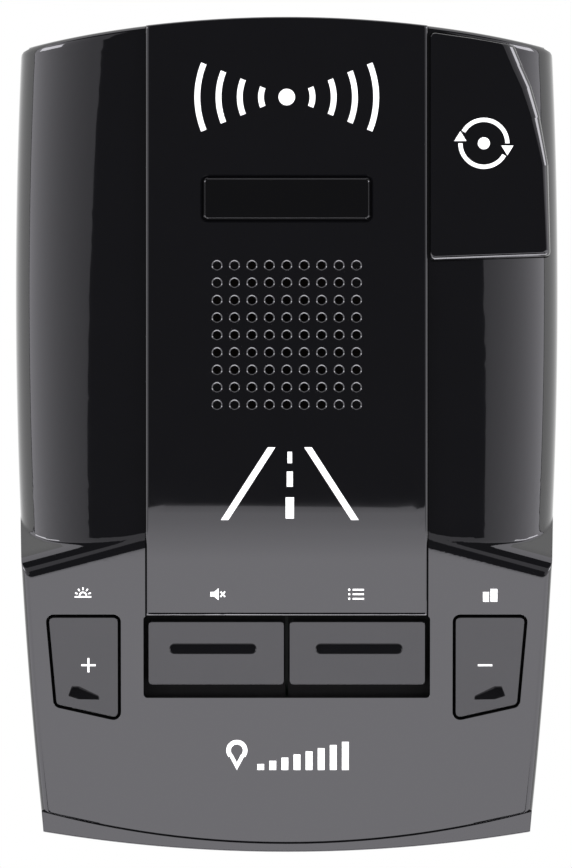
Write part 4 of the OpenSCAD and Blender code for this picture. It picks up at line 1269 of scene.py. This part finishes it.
class DETECTOR_OT_cover(bpy.types.Operator):
    """Make the top cover"""
    bl_idname = "detector.cover"
    bl_label = "Top cover"

    def execute(self, context):
        make_cover()
        return {"FINISHED"}


class DETECTOR_OT_panel(bpy.types.Operator):
    """Make the centre panel and its indicator lens"""
    bl_idname = "detector.panel"
    bl_label = "Centre panel"

    def execute(self, context):
        make_panel()
        make_lens()
        return {"FINISHED"}


class DETECTOR_OT_pod(bpy.types.Operator):
    """Make the laser pod's hood"""
    bl_idname = "detector.pod"
    bl_label = "Laser pod"

    def execute(self, context):
        make_pod()
        return {"FINISHED"}


class DETECTOR_OT_bezel(bpy.types.Operator):
    """Make the display bezel"""
    bl_idname = "detector.bezel"
    bl_label = "Display bezel"

    def execute(self, context):
        make_bezel()
        return {"FINISHED"}


class DETECTOR_OT_housing(bpy.types.Operator):
    """Make the lower housing"""
    bl_idname = "detector.housing"
    bl_label = "Lower housing"

    def execute(self, context):
        make_housing()
        return {"FINISHED"}


class DETECTOR_OT_keys(bpy.types.Operator):
    """Make the four keys"""
    bl_idname = "detector.keys"
    bl_label = "Keys"

    def execute(self, context):
        make_keys()
        return {"FINISHED"}


class DETECTOR_OT_marks(bpy.types.Operator):
    """Print the generic marks"""
    bl_idname = "detector.marks"
    bl_label = "Printed marks"

    def execute(self, context):
        make_marks()
        return {"FINISHED"}


class DETECTOR_OT_finishes(bpy.types.Operator):
    """Give every piece its finish"""
    bl_idname = "detector.finishes"
    bl_label = "Finishes"

    def execute(self, context):
        make_finishes()
        return {"FINISHED"}


class DETECTOR_OT_stage(bpy.types.Operator):
    """Set up the floor, lights and camera"""
    bl_idname = "detector.stage"
    bl_label = "Studio"

    def execute(self, context):
        make_stage()
        return {"FINISHED"}


OPERATORS = (
    DETECTOR_OT_cover, DETECTOR_OT_panel, DETECTOR_OT_pod, DETECTOR_OT_bezel, DETECTOR_OT_housing,
    DETECTOR_OT_keys, DETECTOR_OT_marks, DETECTOR_OT_finishes, DETECTOR_OT_stage,
)


class DETECTOR_PT_sidebar(bpy.types.Panel):
    """Sizes, colours and operators of the radar detector"""
    bl_label = "Radar detector"
    bl_idname = "DETECTOR_PT_sidebar"
    bl_space_type = "VIEW_3D"
    bl_region_type = "UI"
    bl_category = "Detector"

    def draw(self, context):
        for group in (context.scene.detector_sizes, context.scene.detector_colours):
            for key in group.__annotations__:
                self.layout.prop(group, key)
        for operator in OPERATORS:
            self.layout.operator(operator.bl_idname)


CLASSES = (DetectorSizes, DetectorColours) + OPERATORS + (DETECTOR_PT_sidebar,)


def register():
    for cls in CLASSES:
        bpy.utils.register_class(cls)
    bpy.types.Scene.detector_sizes = bpy.props.PointerProperty(type=DetectorSizes)
    bpy.types.Scene.detector_colours = bpy.props.PointerProperty(type=DetectorColours)


def unregister():
    del bpy.types.Scene.detector_colours
    del bpy.types.Scene.detector_sizes
    for cls in reversed(CLASSES):
        bpy.utils.unregister_class(cls)


def main():
    register()
    bpy.ops.detector.cover()
    bpy.ops.detector.panel()
    bpy.ops.detector.pod()
    bpy.ops.detector.bezel()
    bpy.ops.detector.housing()
    bpy.ops.detector.keys()
    bpy.ops.detector.marks()
    bpy.ops.detector.finishes()
    bpy.ops.detector.stage()


if __name__ == "__main__":
    main()
